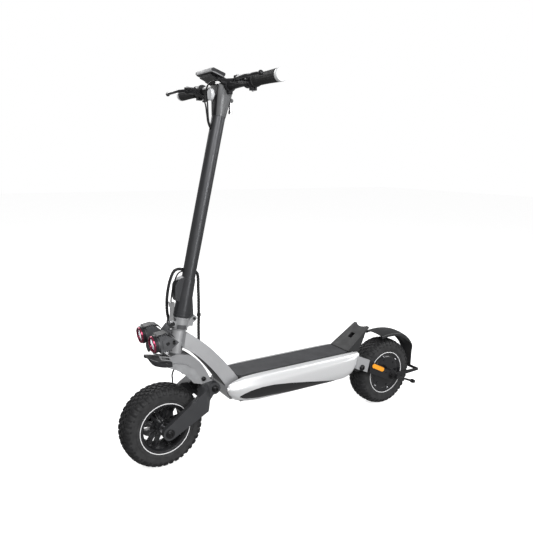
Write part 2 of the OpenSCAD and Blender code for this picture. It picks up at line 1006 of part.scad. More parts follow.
// Fender over the rear wheel, carried by the swingarm
module rear_fender() {
    t = 3.5;
    cx = rear_axle_x;
    cz = wheel_r;
    top = concat(bez([cx + 14, cz + 146], [cx - 10, cz + 160], [cx - 40, cz + 164],
        [cx - 72, cz + 160], 5), bez([cx - 88, cz + 150], [cx - 112, cz + 124],
        [cx - 132, cz + 100], [cx - 139, cz + 76], 5), [[cx - 153, cz + 36],
        [cx - 166.5, cz - 12]]);
    under = [for (p = reversed(top))
        let (d = unit([cx - p[0], cz - p[1]])) p + t * d];
    lip = [for (p = reversed(top))
        let (d = unit([cx - p[0], cz - p[1]]), s = p[1] > cz + 90 ? 16 : 7) p + s * d];
    color([0.3, 0.3, 0.31])
    intersection() {
        union() {
            slab(concat(top, under), -45, 45);
            both()
                slab(concat(top, lip), 42, 45);
        }
        translate([-700, 0, 0])
            rotate([90, 0, 90])
                linear_extrude(height = 400)
                    polygon([[-45, 330], [-45, 262], [-42, 230], [-28, 190], [-18, 120],
                        [18, 120], [28, 190], [42, 230], [45, 262], [45, 330]]);
    }
}

module side_reflectors() {
    color("orange")
    both()
        translate([-356, 70, 172])
            rotate([0, -27, 0])
                rotate([-90, 0, 0])
                    linear_extrude(height = 3)
                        polygon(concat(arc(25, 0, 8, -90, 90, 8), arc(-25, 0, 8, 90, 270, 8)));
}

module kickstand() {
    foot = [-546, 72, 80];
    hip = [kpiv[0] - 7, 74, kpiv[1] - 3];
    color([0.06, 0.06, 0.06])
    difference() {
        union() {
            ycyl(kpiv, 10, 70 + gap, 78 - gap);
            rod(hip, foot, 3, 4.6);
            // rubber foot
            rod(foot - 7 * unit(foot - hip), foot + 7 * unit(foot - hip), 8, 7);
        }
        ycyl(kpiv, 5 + run_fit, 60, 90);
    }
}

// ---------- stem and cockpit ----------
module stem_foot() {
    color([0.28, 0.28, 0.29])
    steer()
        difference() {
            union() {
                translate([0, 0, foot_w0])
                    cylinder(r = 25, h = 16);
                translate([0, 0, foot_w0 + 16])
                    cylinder(r1 = 25, r2 = stem_r + 2, h = foot_w1 - foot_w0 - 16);
                // rear tongue of the fold hinge
                translate([0, 8, 0])
                    rotate([90, 0, 0])
                        linear_extrude(height = 16)
                            polygon(concat(arc(fold_u, fold_w, 9, 90, 330, 8),
                                [[-20, foot_w0], [-10, 352], [-10, 400], [-22, 400]]));
                // front lobe that the latch holds and the cable leaves through
                translate([0, 13, 0])
                    rotate([90, 0, 0])
                        linear_extrude(height = 26)
                            polygon(concat([[10, 384]], bez([30, 384], [36, 392], [41, 412],
                                [42, 430], 4), bez([41, 436], [34, 450], [26, 458], [10, 462], 4)));
            }
            translate([fold_u, -30, fold_w])
                rotate([-90, 0, 0])
                    cylinder(r = 4.5 + run_fit, h = 60);
            translate([0, 0, tube_w0])
                cylinder(r = stem_r - 0.5, h = 200);
            translate([0, 0, foot_w1])
                cylinder(r = stem_r, h = 20);
            translate([0, 0, foot_w0 - 1])
                cylinder(r = 15, h = 40);
        }
}

module stem_tube() {
    color([0.25, 0.25, 0.26])
    steer()
        difference() {
            union() {
                translate([0, 0, tube_w0])
                    cylinder(r = stem_r - 0.5, h = tube_w1 - tube_w0);
                translate([0, 0, foot_w1])
                    cylinder(r = stem_r, h = head_start - foot_w1);
            }
            translate([0, 0, tube_w0 - 1])
                cylinder(r = stem_r - 2.8, h = tube_w1 - tube_w0 + 2);
            // cable holes
            translate([0, 0, 900])
                rotate([0, 90, 0])
                    cylinder(r = 7, h = 40);
            translate([0, -10, 478])
                rotate([0, 90, 0])
                    cylinder(r = 6.5, h = 40);
            translate([-40, 0, 478])
                rotate([0, 90, 0])
                    cylinder(r = 6.5, h = 40);
        }
}

hook_u = -28;
hook_w = 992;
reflector_z = 1105;

module stem_head() {
    hook_pin_r = 2.5;
    color("darkgray") {
        difference() {
            union() {
                hull() {
                    steer()
                        translate([0, 0, head_start])
                            cylinder(r = stem_r + 0.8, h = 4, $fn = 32);
                    translate([bar_x, -30, grip_z])
                        rotate([-90, 0, 0])
                            cylinder(r = 17.5, h = 60, $fn = 32);
                    translate([bar_x + 22, -24, grip_z - 2])
                        cube([8, 48, 6]);
                }
                // ears that hold the folding hook
                steer()
                    for (y = [-4.3, 8.3])
                        translate([0, y, 0])
                            rotate([90, 0, 0])
                                linear_extrude(height = 4)
                                    polygon(concat([[-12, 980], [-12, 1002]],
                                        arc(hook_u, hook_w, 6, 80, 280, 8)));
            }
            steer()
                translate([0, 0, 900])
                    cylinder(r = stem_r - 0.5, h = tube_w1 - 900);
            translate([bar_x, -60, grip_z])
                rotate([-90, 0, 0])
                    cylinder(r = bar_fat_r, h = 120);
            // slot for the hook's eye
            steer()
                translate([hook_u - 12, -4.3, hook_w - 12])
                    cube([20, 8.6, 24]);
            // seat of the front reflector
            translate([271, 0, reflector_z])
                rotate([0, 90, 0])
                    cylinder(r = 6, h = 30);
        }
        // pin of the folding hook
        steer()
            translate([hook_u, -9.5, hook_w])
                rotate([-90, 0, 0])
                    cylinder(r = hook_pin_r, h = 19);
    }
}

module stem_hook() {
    color("silver")
    steer()
        translate([hook_u, 0, hook_w])
            rotate([0, rake, 0])
                difference() {
                    union() {
                        rotate([90, 0, 0])
                            translate([0, 0, -4])
                                cylinder(r = 5.5, h = 8);
                        translate([0, 0, -31])
                            cylinder(r = 4.2, h = 28);
                        translate([0, 0, -37])
                            cylinder(r = 5.6, h = 7);
                    }
                    rotate([90, 0, 0])
                        translate([0, 0, -10])
                            cylinder(r = 2.5 + run_fit, h = 20);
                }
}

module handlebar() {
    half = bar_w / 2 - 2;
    color([0.1, 0.1, 0.1])
        translate([bar_x, 0, grip_z])
            rotate([-90, 0, 0])
                rotate_extrude()
                    polygon([[0, -bar_bore_y], [bar_bore_r, -bar_bore_y], [bar_bore_r, -half],
                        [bar_r, -half], [bar_r, -bar_taper_y], [bar_fat_r, -bar_flat_y],
                        [bar_fat_r, bar_flat_y], [bar_r, bar_taper_y], [bar_r, half],
                        [bar_bore_r, half], [bar_bore_r, bar_bore_y], [0, bar_bore_y]]);
}

grip_y0 = 178;
module grips() {
    grip_len = bar_w / 2 - grip_y0;
    profile = [[bar_r, 0], [19, 0], [19, 4], [16.5, 7], [15.6, 30], [16.6, 62], [16, 95],
        [17, grip_len - 8], [17, grip_len], [bar_bore_r + 0.6, grip_len],
        [bar_bore_r + 0.6, grip_len - 2], [bar_r, grip_len - 2]];
    color([0.15, 0.15, 0.15])
    both()
        translate([bar_x, grip_y0, grip_z])
            rotate([-90, 0, 0])
                rotate_extrude()
                    polygon(profile);
}

lever_pivot = [296, 158];
module lever_mounts() {
    color([0.1, 0.1, 0.11])
    both()
        difference() {
            union() {
                // clamp ring
                translate([bar_x, 158, grip_z])
                    rotate([-90, 0, 0])
                        cylinder(r = 17, h = 14);
                translate([bar_x - 8, 158, grip_z - 26])
                    cube([16, 14, 14]);
                // arm to the lever pivot, upper and lower plates
                for (z = [-9, 5])
                    translate([0, 0, grip_z + z])
                        linear_extrude(height = 4)
                            polygon(concat([[bar_x + 8, 172], [bar_x + 8, 158],
                                [bar_x + 20, 158], [bar_x + 20, 150]],
                                arc(lever_pivot[0], lever_pivot[1], 10, -90, 90, 8)));
                // cable adjuster barrel
                rod([lever_pivot[0] + 4, 144, grip_z - 1], [lever_pivot[0] + 20, 126, grip_z],
                    5, 3.6);
                translate([bar_x + 20, 144, grip_z - 9])
                    cube([28, 10, 18]);
            }
            translate([bar_x, 100, grip_z])
                rotate([-90, 0, 0])
                    cylinder(r = bar_r, h = 100);
            translate([lever_pivot[0], lever_pivot[1], grip_z - 20])
                cylinder(r = 3, h = 40);
            // cable socket in the adjuster barrel
            rod([lever_pivot[0] + 12.8, 134.1, grip_z - 0.3], [lever_pivot[0] + 21.6, 124.2, grip_z],
                2.8, 2.8);
            // clears the lever eye
            translate([lever_pivot[0], lever_pivot[1], grip_z - 5])
                cylinder(r = 10.5, h = 10);
            // clamp split
            translate([bar_x - 1, 150, grip_z - 40])
                cube([2, 40, 32]);
        }
    // pivot pins
    color("silver")
    both()
        translate([lever_pivot[0], lever_pivot[1], grip_z - 10])
            cylinder(r = 3, h = 20);
}

module brake_lever() {
    tip = [306, 290];
    blade = concat(
        arc(lever_pivot[0], lever_pivot[1], 9, 180, 360, 8),
        bez([lever_pivot[0] + 14, 176], [318, 200], [312, 250], [tip[0] + 4, tip[1] - 6], 6),
        arc(tip[0], tip[1], 6, 30, 210, 6),
        bez([tip[0] - 5, tip[1] - 10], [303, 250], [304, 200], [lever_pivot[0] - 5, 176], 6));
    color([0.05, 0.05, 0.05])
    difference() {
        union() {
            translate([0, 0, grip_z - 4.6])
                linear_extrude(height = 9.2)
                    polygon(blade);
            translate([tip[0], tip[1], grip_z])
                sphere(r = 7);
        }
        translate([lever_pivot[0], lever_pivot[1], grip_z - 20])
            cylinder(r = 3 + run_fit, h = 40);
    }
}

module brake_lever_left() {
    brake_lever();
}

module brake_lever_right() {
    mirror([0, 1, 0])
        brake_lever();
}

disp_tilt = 18.4;
disp_half = 53.7;
// Frame of the display: origin at the rear edge of its top face, X forward
module disp_frame() {
    translate([274.5, 0, 1158.7])
        rotate([0, -disp_tilt, 0])
            children();
}

module display_case() {
    color([0.12, 0.12, 0.13])
    difference() {
        union() {
            disp_frame() {
                slab([[1, -9], [0, -3], [2, 0], [40, 0], [43, -3], [42, -9]], -disp_half,
                    disp_half);
                slab([[5, -9], [8, -22], [34, -20], [38, -9]], -34, 34);
                // side buttons pad
                slab([[10, 0], [32, 0], [32, 1], [10, 1]], -50, -46);
            }
            // arms and rings that clamp the bar beside the stem head
            both() {
                slab([[258, 1142], [276, 1152], [296, 1156], [292, 1142], [262, 1128]], 31, 41);
                ycyl([bar_x, grip_z], 17.5, 31, 42);
                slab([[bar_x - 6, grip_z - 15], [bar_x + 6, grip_z - 15],
                    [bar_x + 6, grip_z - 24], [bar_x - 6, grip_z - 24]], 31, 42);
            }
        }
        ycyl([bar_x, grip_z], bar_fat_r, -60, 60);
        disp_frame()
            slab([[5, -2], [5, 4], [38, 4], [38, -2]], -44, 44);
    }
}

module display_screen() {
    color([0.02, 0.03, 0.05])
    disp_frame()
        slab([[5.2, -2], [5.2, -0.4], [37.8, -0.4], [37.8, -2]], -43.8, 43.8);
}

module front_reflector() {
    color("whitesmoke")
    translate([292, 0, reflector_z])
        rotate([0, 90, 0]) {
            cylinder(r = 17, h = 5);
            translate([0, 0, 5])
                cylinder(r1 = 17, r2 = 15, h = 3);
            translate([0, 0, -21])
                cylinder(r = 6, h = 21);
        }
}

// Inner end of the switch pod on the left
pod_y = 136;
module switch_pod() {
    color([0.08, 0.08, 0.08])
    difference() {
        union() {
            translate([bar_x, pod_y, grip_z - 1])
                rotate([-90, 0, 0])
                    cylinder(r = 17, h = 20);
            translate([bar_x - 30, pod_y, grip_z - 6])
                cube([24, 20, 18]);
            // throttle housing on the right
            translate([bar_x, -157, grip_z - 1])
                rotate([-90, 0, 0])
                    cylinder(r = 19, h = 20);
        }
        translate([bar_x, -170, grip_z])
            rotate([-90, 0, 0])
                cylinder(r = bar_r, h = 340);
        // well of the mode button
        translate([bar_x - 24, pod_y + 10, grip_z + 6])
            cylinder(r = 5 + gap, h = 10);
        // ring groove that the throttle paddle turns in
        translate([bar_x, -150, grip_z])
            rotate([-90, 0, 0])
                difference() {
                    cylinder(r = 24, h = 8);
                    translate([0, 0, -1])
                        cylinder(r = 15, h = 10);
                }
    }
}

module mode_button() {
    color("firebrick")
    translate([bar_x - 24, pod_y + 10, grip_z + 8.5])
        cylinder(r = 5, h = 6);
}

module thumb_throttle() {
    color([0.12, 0.12, 0.12])
    translate([bar_x, -150 + gap, grip_z])
        rotate([-90, 0, 0])
            difference() {
                union() {
                    cylinder(r = 19.5, h = 8 - 2 * gap);
                    rotate([0, 0, 125])
                        translate([14, -5, 0])
                            cube([20, 10, 8 - 2 * gap]);
                    rotate([0, 0, 125])
                        translate([28, -5, -22])
                            cube([6, 10, 26]);
                }
                translate([0, 0, -1])
                    cylinder(r = 15 + run_fit, h = 12);
            }
}

module brake_cables() {
    route = [[312, 131, 1130], [322, 118.5, 1130.5], [330, 95, 1130], [332, 65, 1126],
        [326, 36, 1116], [316, 16, 1100], [309, 7, 1078], [306, 4, 1050], [303, 3.2, 1028],
        [296, 3, 1012], [287, 3, 1006]];
    color([0.05, 0.05, 0.05])
    both()
        cord(route, 2.2, 8, 3);
}

module cable_bundles() {
    front = [[378, -10, 597], [389, -10, 599], [402, -11, 600], [414, -12, 593], [424, -13, 572],
        [431, -14, 545], [436, -14, 510], [436, -14, 475], [433, -14, 456], [432, -13.5, 440]];
    rear = [[358, 0, 592], [349, 0, 590], [342, 0, 581], [340, 0, 562], [340, 0, 540],
        [339, 0, 510], [339, 0, 480], [339, 0, 450], [340, 0, 420], [340, 0, 390], [340, 0, 366]];
    color([0.07, 0.07, 0.07]) {
        cord(front, 4.6, 8, 4);
        cord(rear, 4.6, 8, 4);
    }
}

neck_frame();
deck_tray();
deck_lid();
deck_mat();
side_cover_left();
side_cover_right();
side_trims();
battery_pack();
motor_controller();
kick_plate();
rear_pivot_blocks();
headset_bearings();
chassis_bolts();
charge_port_cap();
fork_arch();
fold_base();
pivot_pins();
lamp_bracket();
horn();
front_mudguard();
front_buffer();
fold_latch();
lamp_left();
lamp_left_lens();
lamp_right();
lamp_right_lens();
front_swingarm();
front_axle();
front_caliper();
front_rim();
front_tyre();
front_disc();
front_bearings();
rear_swingarm();
motor_axle();
rear_caliper();
rear_fender();
side_reflectors();
motor_shell();
rear_tyre();
rear_disc();
kickstand();
stem_foot();
stem_tube();
stem_head();
handlebar();
grips();
lever_mounts();
display_case();
display_screen();
switch_pod();
front_reflector();
brake_lever_left();
brake_lever_right();
thumb_throttle();
mode_button();
stem_hook();
brake_cables();
cable_bundles();
front_brake_hose();
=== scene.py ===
import json
import math

import bmesh
import bpy
from mathutils import Matrix, Vector


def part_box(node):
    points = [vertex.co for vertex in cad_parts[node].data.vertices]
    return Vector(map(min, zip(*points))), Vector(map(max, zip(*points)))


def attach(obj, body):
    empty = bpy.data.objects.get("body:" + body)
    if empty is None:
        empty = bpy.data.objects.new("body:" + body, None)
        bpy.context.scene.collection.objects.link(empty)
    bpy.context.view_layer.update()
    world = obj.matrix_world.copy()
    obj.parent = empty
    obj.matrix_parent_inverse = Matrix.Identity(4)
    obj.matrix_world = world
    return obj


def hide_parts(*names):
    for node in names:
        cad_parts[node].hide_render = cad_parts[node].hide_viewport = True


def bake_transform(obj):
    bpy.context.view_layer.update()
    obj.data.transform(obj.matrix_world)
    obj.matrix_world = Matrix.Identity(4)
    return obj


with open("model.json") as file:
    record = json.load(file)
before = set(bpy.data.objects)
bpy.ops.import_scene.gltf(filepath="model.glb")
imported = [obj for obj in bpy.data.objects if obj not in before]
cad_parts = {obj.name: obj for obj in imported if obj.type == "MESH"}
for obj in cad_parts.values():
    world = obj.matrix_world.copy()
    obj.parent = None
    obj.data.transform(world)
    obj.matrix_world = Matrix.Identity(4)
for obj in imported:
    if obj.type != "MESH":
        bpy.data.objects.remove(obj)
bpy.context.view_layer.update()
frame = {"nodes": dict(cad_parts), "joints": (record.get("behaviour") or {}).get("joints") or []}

NODES = frame["nodes"]
JOINTS = {j["name"]: j for j in frame["joints"]}
MM = 0.001
TAU = 2 * math.pi


# ---------------------------------------------------------------- places
def centre(node):
    """Middle of a node's bounding box."""
    low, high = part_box(node)
    return (Vector(low) + Vector(high)) / 2


def joint_at(name):
    """Place of a joint."""
    return Vector(JOINTS[name]["pos_m"])


FRONT = centre("front_tyre")
REAR = centre("rear_tyre")
WHEEL_R = (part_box("front_tyre")[1][2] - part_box("front_tyre")[0][2]) / 2
STEER_UP = Vector(JOINTS["steering_turn"]["axis"]).normalized()
RIM_R = 80 * MM


def mm(x, y, z):
    """A point in the shared frame, given in millimetres."""
    return Vector((x, y, z)) * MM


# ---------------------------------------------------------------- mesh building
class Build:
    """Collects vertices and faces of one piece, with a material index for each face."""

    def __init__(self):
        self.verts = []
        self.faces = []
        self.mats = []

    def add(self, verts, faces, mat=0, matrix=None):
        start = len(self.verts)
        for v in verts:
            self.verts.append(matrix @ Vector(v) if matrix else Vector(v))
        for f in faces:
            self.faces.append(tuple(i + start for i in f))
            self.mats.append(mat)

    def turn(self, profile, place, segments=48, closed=False, mat=0):
        """Adds a shape turned about place's z, from (radius, height) pairs in millimetres."""
        pairs = [(r * MM, h * MM) for r, h in profile]
        self.add(*lathe(pairs, segments, closed), mat=mat, matrix=place)

    def flip_y(self):
        """Moves the piece to the other side of the object."""
        self.verts = [Vector((v.x, -v.y, v.z)) for v in self.verts]
        self.faces = [tuple(reversed(f)) for f in self.faces]

    def mirror_y(self):
        """Adds the same again on the other side of the object."""
        count = len(self.verts)
        self.verts += [Vector((v.x, -v.y, v.z)) for v in self.verts]
        self.faces += [tuple(i + count for i in reversed(f)) for f in self.faces]
        self.mats += list(self.mats)

    def piece(self, name, materials, body, angle=35, replaces=()):
        """Makes the object, smooth except at edges sharper than angle."""
        mesh = bpy.data.meshes.new(name)
        mesh.from_pydata([tuple(v) for v in self.verts], [], self.faces)
        for material in materials:
            mesh.materials.append(material)
        for polygon, index in zip(mesh.polygons, self.mats):
            polygon.material_index = index
        mesh.validate()
        form = bmesh.new()
        form.from_mesh(mesh)
        bmesh.ops.recalc_face_normals(form, faces=form.faces)
        form.to_mesh(mesh)
        form.free()
        mesh.shade_smooth()
        mesh.set_sharp_from_angle(angle=math.radians(angle))
        obj = bpy.data.objects.new(name, mesh)
        bpy.context.scene.collection.objects.link(obj)
        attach(obj, body) if isinstance(body, str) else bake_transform(obj)
        if replaces:
            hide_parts(*replaces)
        return obj


def loft(rings, caps=True, closed=True):
    """Joins rings of equal length with quads; closed rings get end caps."""
    n = len(rings[0])
    verts = [v for ring in rings for v in ring]
    faces = []
    steps = n if closed else n - 1
    for i in range(len(rings) - 1):
        for k in range(steps):
            a, b = i * n + k, i * n + (k + 1) % n
            faces.append((a, b, b + n, a + n))
    if caps and closed:
        faces.append(tuple(reversed(range(n))))
        faces.append(tuple((len(rings) - 1) * n + k for k in range(n)))
    return verts, faces


def axis_matrix(origin, axis, up=(0, 0, 1)):
    """Frame whose local z runs along axis."""
    z = Vector(axis).normalized()
    x = Vector(up).cross(z)
    if x.length < 1e-4:
        x = Vector((0, 1, 0)).cross(z)
    x.normalize()
    y = z.cross(x)
    m = Matrix((x, y, z)).transposed().to_4x4()
    m.translation = Vector(origin)
    return m


def lathe(profile, segments=48, closed=False):
    """Turns (radius, height) pairs about local z. An open profile has to start and end on
    the axis or be left open on purpose; a closed one is a ring's section."""
    rings = []
    for k in range(segments):
        a = TAU * k / segments
        rings.append([Vector((r * math.cos(a), r * math.sin(a), h)) for r, h in profile])
    n = len(profile)
    verts = [v for ring in rings for v in ring]
    faces = []
    for i in range(segments):
        j = (i + 1) % segments
        for k in range(n if closed else n - 1):
            m = (k + 1) % n
            face = [i * n + k, j * n + k, j * n + m, i * n + m]
            if profile[k][0] < 1e-7:
                face = [i * n + k, j * n + m, i * n + m]
            elif profile[m][0] < 1e-7:
                face = [i * n + k, j * n + k, i * n + m]
            faces.append(tuple(face))
    return verts, faces


def catmull(points, steps):
    """Smooth curve through given points."""
    out = []
    last = len(points) - 1
    for i in range(last):
        a, b = points[max(i - 1, 0)], points[i]
        c, d = points[i + 1], points[min(i + 2, last)]
        for k in range(steps):
            t = k / steps
            out.append(0.5 * (2 * b + (c - a) * t + (2 * a - 5 * b + 4 * c - d) * t * t
                              + (3 * b - a - 3 * c + d) * t ** 3))
    out.append(points[-1])
    return out


def resample(points, gap):
    """The same curve with points gap apart."""
    lengths = [0.0]
    for a, b in zip(points, points[1:]):
        lengths.append(lengths[-1] + (b - a).length)
    count = max(2, round(lengths[-1] / gap))
    out = []
    j = 0
    for i in range(count + 1):
        s = lengths[-1] * i / count
        while j < len(lengths) - 2 and lengths[j + 1] < s:
            j += 1
        t = (s - lengths[j]) / max(lengths[j + 1] - lengths[j], 1e-9)
        out.append(points[j].lerp(points[j + 1], min(max(t, 0), 1)))
    return out


def tangent(points, i):
    """Direction of the curve at its point i."""
    return (points[min(i + 1, len(points) - 1)] - points[max(i - 1, 0)]).normalized()


def sweep(points, radius, sides):
    """Tube along points. radius is a number or a function of (distance, angle)."""
    tangents = [tangent(points, i) for i in range(len(points))]
    side = tangents[0].orthogonal().normalized()
    rings = []
    travelled = 0.0
    for i, (p, t) in enumerate(zip(points, tangents)):
        if i:
            travelled += (p - points[i - 1]).length
        side = (side - t * side.dot(t)).normalized()
        other = t.cross(side)
        ring = []
        for k in range(sides):
            a = TAU * k / sides
            r = radius(travelled, a) if callable(radius) else radius
            ring.append(p + side * (r * math.cos(a)) + other * (r * math.sin(a)))
        rings.append(ring)
    return loft(rings)


def spiral_wrap(r):
    """Radius of a bundle wound in spiral wrap: a flat band with a groove between turns."""
    pitch, groove, groove_share = 9 * MM, 0.75 * MM, 0.22

    def radius(distance, angle):
        phase = (distance / pitch - angle / TAU) % 1.0
        return r - groove if phase < groove_share else r
    return radius


def box_mesh(low, high):
    """Closed box between two corners; the lamp cover's fins made with it are bevelled with the
    cover, the lamp chips are not.
    """
    (x0, y0, z0), (x1, y1, z1) = low, high
    verts = [(x, y, z) for x in (x0, x1) for y in (y0, y1) for z in (z0, z1)]
    faces = [(0, 1, 3, 2), (4, 6, 7, 5), (0, 4, 5, 1), (2, 3, 7, 6), (0, 2, 6, 4), (1, 5, 7, 3)]
    return verts, faces


def socket_head(r, h):
    """Cap screw head on local z, chamfered, with a hexagonal socket."""
    n = 36
    hex_r = r * 0.55
    chamfer = 0.18
    rings = []
    for rr, z in ((r, 0), (r, h * (1 - chamfer * 1.6)), (r * (1 - chamfer), h)):
        rings.append([Vector((rr * math.cos(TAU * k / n), rr * math.sin(TAU * k / n), z))
                      for k in range(n)])
    for z in (h, h * 0.35):
        ring = []
        for k in range(n):
            a = TAU * k / n
            edge = (a % (TAU / 6)) - TAU / 12
            rr = hex_r * math.cos(TAU / 12) / math.cos(edge)
            ring.append(Vector((rr * math.cos(a), rr * math.sin(a), z)))
        rings.append(ring)
    return loft(rings)


def bevel(obj, width):
    """Rounds the sharp edges of a piece."""
    mod = obj.modifiers.new("edges", "BEVEL")
    mod.width = width
    mod.segments = 2
    mod.limit_method = "ANGLE"
    mod.angle_limit = math.radians(35)
    mod.harden_normals = True


# ---------------------------------------------------------------- materials
class Shader:
    """A Principled material with short ways to add the detail layers."""

    def __init__(self, name, color, rough=0.5, metal=0.0):
        self.mat = bpy.data.materials.new(name)
        self.mat.use_nodes = True
        self.tree = self.mat.node_tree
        self.bsdf = self.tree.nodes["Principled BSDF"]
        self.color = (*color, 1.0)
        self.set(Base_Color=self.color, Roughness=rough, Metallic=metal)
        self.rough = rough
        coords = self.tree.nodes.new("ShaderNodeTexCoord")
        self.place = coords.outputs["Object"]
        self.normal = None

    def node(self, kind, **inputs):
        """Adds a shader node with some of its inputs set."""
        made = self.tree.nodes.new(kind)
        for key, value in inputs.items():
            made.inputs[key.replace("_", " ")].default_value = value
        return made

    def link(self, out, into):
        self.tree.links.new(out, into)

    def noise(self, scale, detail=3.0, stretch=None):
        """Noise in the object's own space, stretched along its axes if asked."""
        tex = self.node("ShaderNodeTexNoise", Scale=scale, Detail=detail, Roughness=0.55)
        source = self.place
        if stretch:
            mapping = self.node("ShaderNodeMapping", Scale=stretch)
            self.link(source, mapping.inputs["Vector"])
            source = mapping.outputs["Vector"]
        self.link(source, tex.inputs["Vector"])
        return tex.outputs["Fac"]

    def remap(self, value, low, high, start=0.3, end=0.7):
        """Spreads start to end over low to high."""
        ramp = self.node("ShaderNodeMapRange", From_Min=start, From_Max=end, To_Min=low,
                         To_Max=high)
        self.link(value, ramp.inputs["Value"])
        return ramp.outputs["Result"]

    def vary_color(self, value, low, high):
        """Base colour between low and high times the material's colour."""
        mix = self.tree.nodes.new("ShaderNodeMix")
        mix.data_type = "RGBA"
        a, b = [tuple(min(c * k, 1.0) for c in self.color[:3]) + (1.0,) for k in (low, high)]
        mix.inputs["A"].default_value = a
        mix.inputs["B"].default_value = b
        self.link(self.remap(value, 0.0, 1.0), mix.inputs["Factor"])
        self.link(mix.outputs["Result"], self.bsdf.inputs["Base Color"])
        return mix

    def vary_rough(self, value, spread):
        """Roughness up to spread to each side of the material's own."""
        low, high = max(self.rough - spread, 0.02), min(self.rough + spread, 1.0)
        self.link(self.remap(value, low, high), self.bsdf.inputs["Roughness"])

    def bump(self, value, distance, strength):
        """Adds a bump layer on top of those before it."""
        made = self.node("ShaderNodeBump", Strength=strength, Distance=distance)
        self.link(value, made.inputs["Height"])
        if self.normal:
            self.link(self.normal, made.inputs["Normal"])
        self.normal = made.outputs["Normal"]
        self.link(self.normal, self.bsdf.inputs["Normal"])

    def soften_edges(self, radius=0.7 * MM):
        """Shades edges as if they were rounded."""
        made = self.node("ShaderNodeBevel", Radius=radius)
        made.samples = 4
        self.normal = made.outputs["Normal"]
        self.link(self.normal, self.bsdf.inputs["Normal"])

    def set(self, **values):
        for key, value in values.items():
            self.bsdf.inputs[key.replace("_", " ")].default_value = value
        return self


def paint(name, color, rough, metal, coat=0.0, flake=0.03):
    """Sprayed paint: fine flake, faint orange peel, uneven gloss."""
    s = Shader(name, color, rough, metal)
    s.soften_edges()
    s.vary_color(s.noise(1400, 2.0), 1 - flake * 3, 1 + flake * 3)
    s.vary_rough(s.noise(35, 4.0), 0.06)
    s.bump(s.noise(420, 2.0), 0.00002, 0.5)
    s.set(Coat_Weight=coat, Coat_Roughness=0.12)
    return s.mat


def plastic(name, color, rough):
    """Moulded plastic with a spark-eroded grain and a little handling shine."""
    s = Shader(name, color, rough)
    s.soften_edges(0.6 * MM)
    s.vary_color(s.noise(60, 4.0), 0.85, 1.2)
    s.vary_rough(s.noise(25, 4.0), 0.1)
    s.bump(s.noise(900, 2.0), 0.00003, 0.7)
    s.set(Specular_IOR_Level=0.35)
    return s.mat


def rubber(name, color, rough, grain):
    """Rubber: dusty tone changes and a fine open grain."""
    s = Shader(name, color, rough)
    s.vary_color(s.noise(45, 5.0), 0.75, 1.35)
    s.vary_rough(s.noise(18, 3.0), 0.1)
    s.bump(s.noise(grain, 3.0), 0.00006, 0.6)
    s.set(Specular_IOR_Level=0.25)
    return s.mat


def metal(name, color, rough):
    """Machined or zinc-plated steel with drawn-out polishing marks."""
    stretch = (40, 900, 900)
    s = Shader(name, color, rough, 1.0)
    s.soften_edges(0.4 * MM)
    s.vary_rough(s.noise(1.0, 3.0, stretch=stretch), 0.1)
    s.vary_color(s.noise(30, 4.0), 0.88, 1.1)
    s.bump(s.noise(1.0, 3.0, stretch=stretch), 0.00001, 0.4)
    return s.mat


def deck_rubber():
    """Grip mat: rows of small raised dots on charcoal rubber."""
    s = Shader("deck_rubber", (0.045, 0.046, 0.05), 0.7)
    cells = s.node("ShaderNodeTexVoronoi", Scale=260, Randomness=0.0)
    s.link(s.place, cells.inputs["Vector"])
    s.vary_color(s.noise(25, 5.0), 0.8, 1.3)
    s.vary_rough(s.noise(12, 3.0), 0.08)
    s.bump(s.remap(cells.outputs["Distance"], 1.0, 0.0, 0.15, 0.45), 0.00025, 0.7)
    s.bump(s.noise(900, 2.0), 0.00005, 0.5)
    return s.mat


def silver_cover_paint():
    """Bright metallic silver under a clear coat."""
    s = Shader("cover_silver", (0.80, 0.805, 0.815), 0.34, 0.45)
    s.vary_color(s.noise(2600, 2.0), 0.94, 1.04)
    s.vary_rough(s.noise(900, 2.0), 0.04)
    s.set(Coat_Weight=0.25, Coat_Roughness=0.2)
    return s.mat


def head_paint():
    """Stem head: grey metal flanks between black front and back faces."""
    s = Shader("head_silver", (0.15, 0.152, 0.156), 0.38, 0.6)
    s.soften_edges()
    split = s.tree.nodes.new("ShaderNodeSeparateXYZ")
    s.link(s.tree.nodes["Texture Coordinate"].outputs["Normal"], split.inputs[0])
    flank = s.tree.nodes.new("ShaderNodeMath")
    flank.operation = "ABSOLUTE"
    s.link(split.outputs["Y"], flank.inputs[0])
    grain = s.vary_color(s.noise(1400, 2.0), 0.92, 1.08)
    tone = s.tree.nodes.new("ShaderNodeMix")
    tone.data_type = "RGBA"
    tone.inputs["A"].default_value = (0.022, 0.022, 0.024, 1.0)
    s.link(s.remap(flank.outputs[0], 0.0, 1.0, 0.62, 0.70), tone.inputs["Factor"])
    s.link(grain.outputs["Result"], tone.inputs["B"])
    s.link(tone.outputs["Result"], s.bsdf.inputs["Base Color"])
    s.vary_rough(s.noise(35, 4.0), 0.06)
    return s.mat


def prismatic(name, color):
    """Reflector plastic with a fine prism grid under a smooth face."""
    s = Shader(name, color, 0.2)
    cells = s.node("ShaderNodeTexVoronoi", Scale=420, Randomness=0.0)
    cells.distance = "MANHATTAN"
    s.link(s.place, cells.inputs["Vector"])
    s.vary_color(cells.outputs["Distance"], 0.8, 1.15)
    s.bump(cells.outputs["Distance"], 0.0002, 0.6)
    s.set(Coat_Weight=0.8, Coat_Roughness=0.04)
    return s.mat


def lens_glass():
    """Clear moulded lens with faint flow marks."""
    s = Shader("lens_glass", (0.95, 0.97, 1.0), 0.06)
    s.bump(s.noise(120, 2.0), 0.00003, 0.4)
    s.vary_rough(s.noise(30, 2.0), 0.04)
    s.set(Transmission_Weight=0.95, IOR=1.45)
    return s.mat


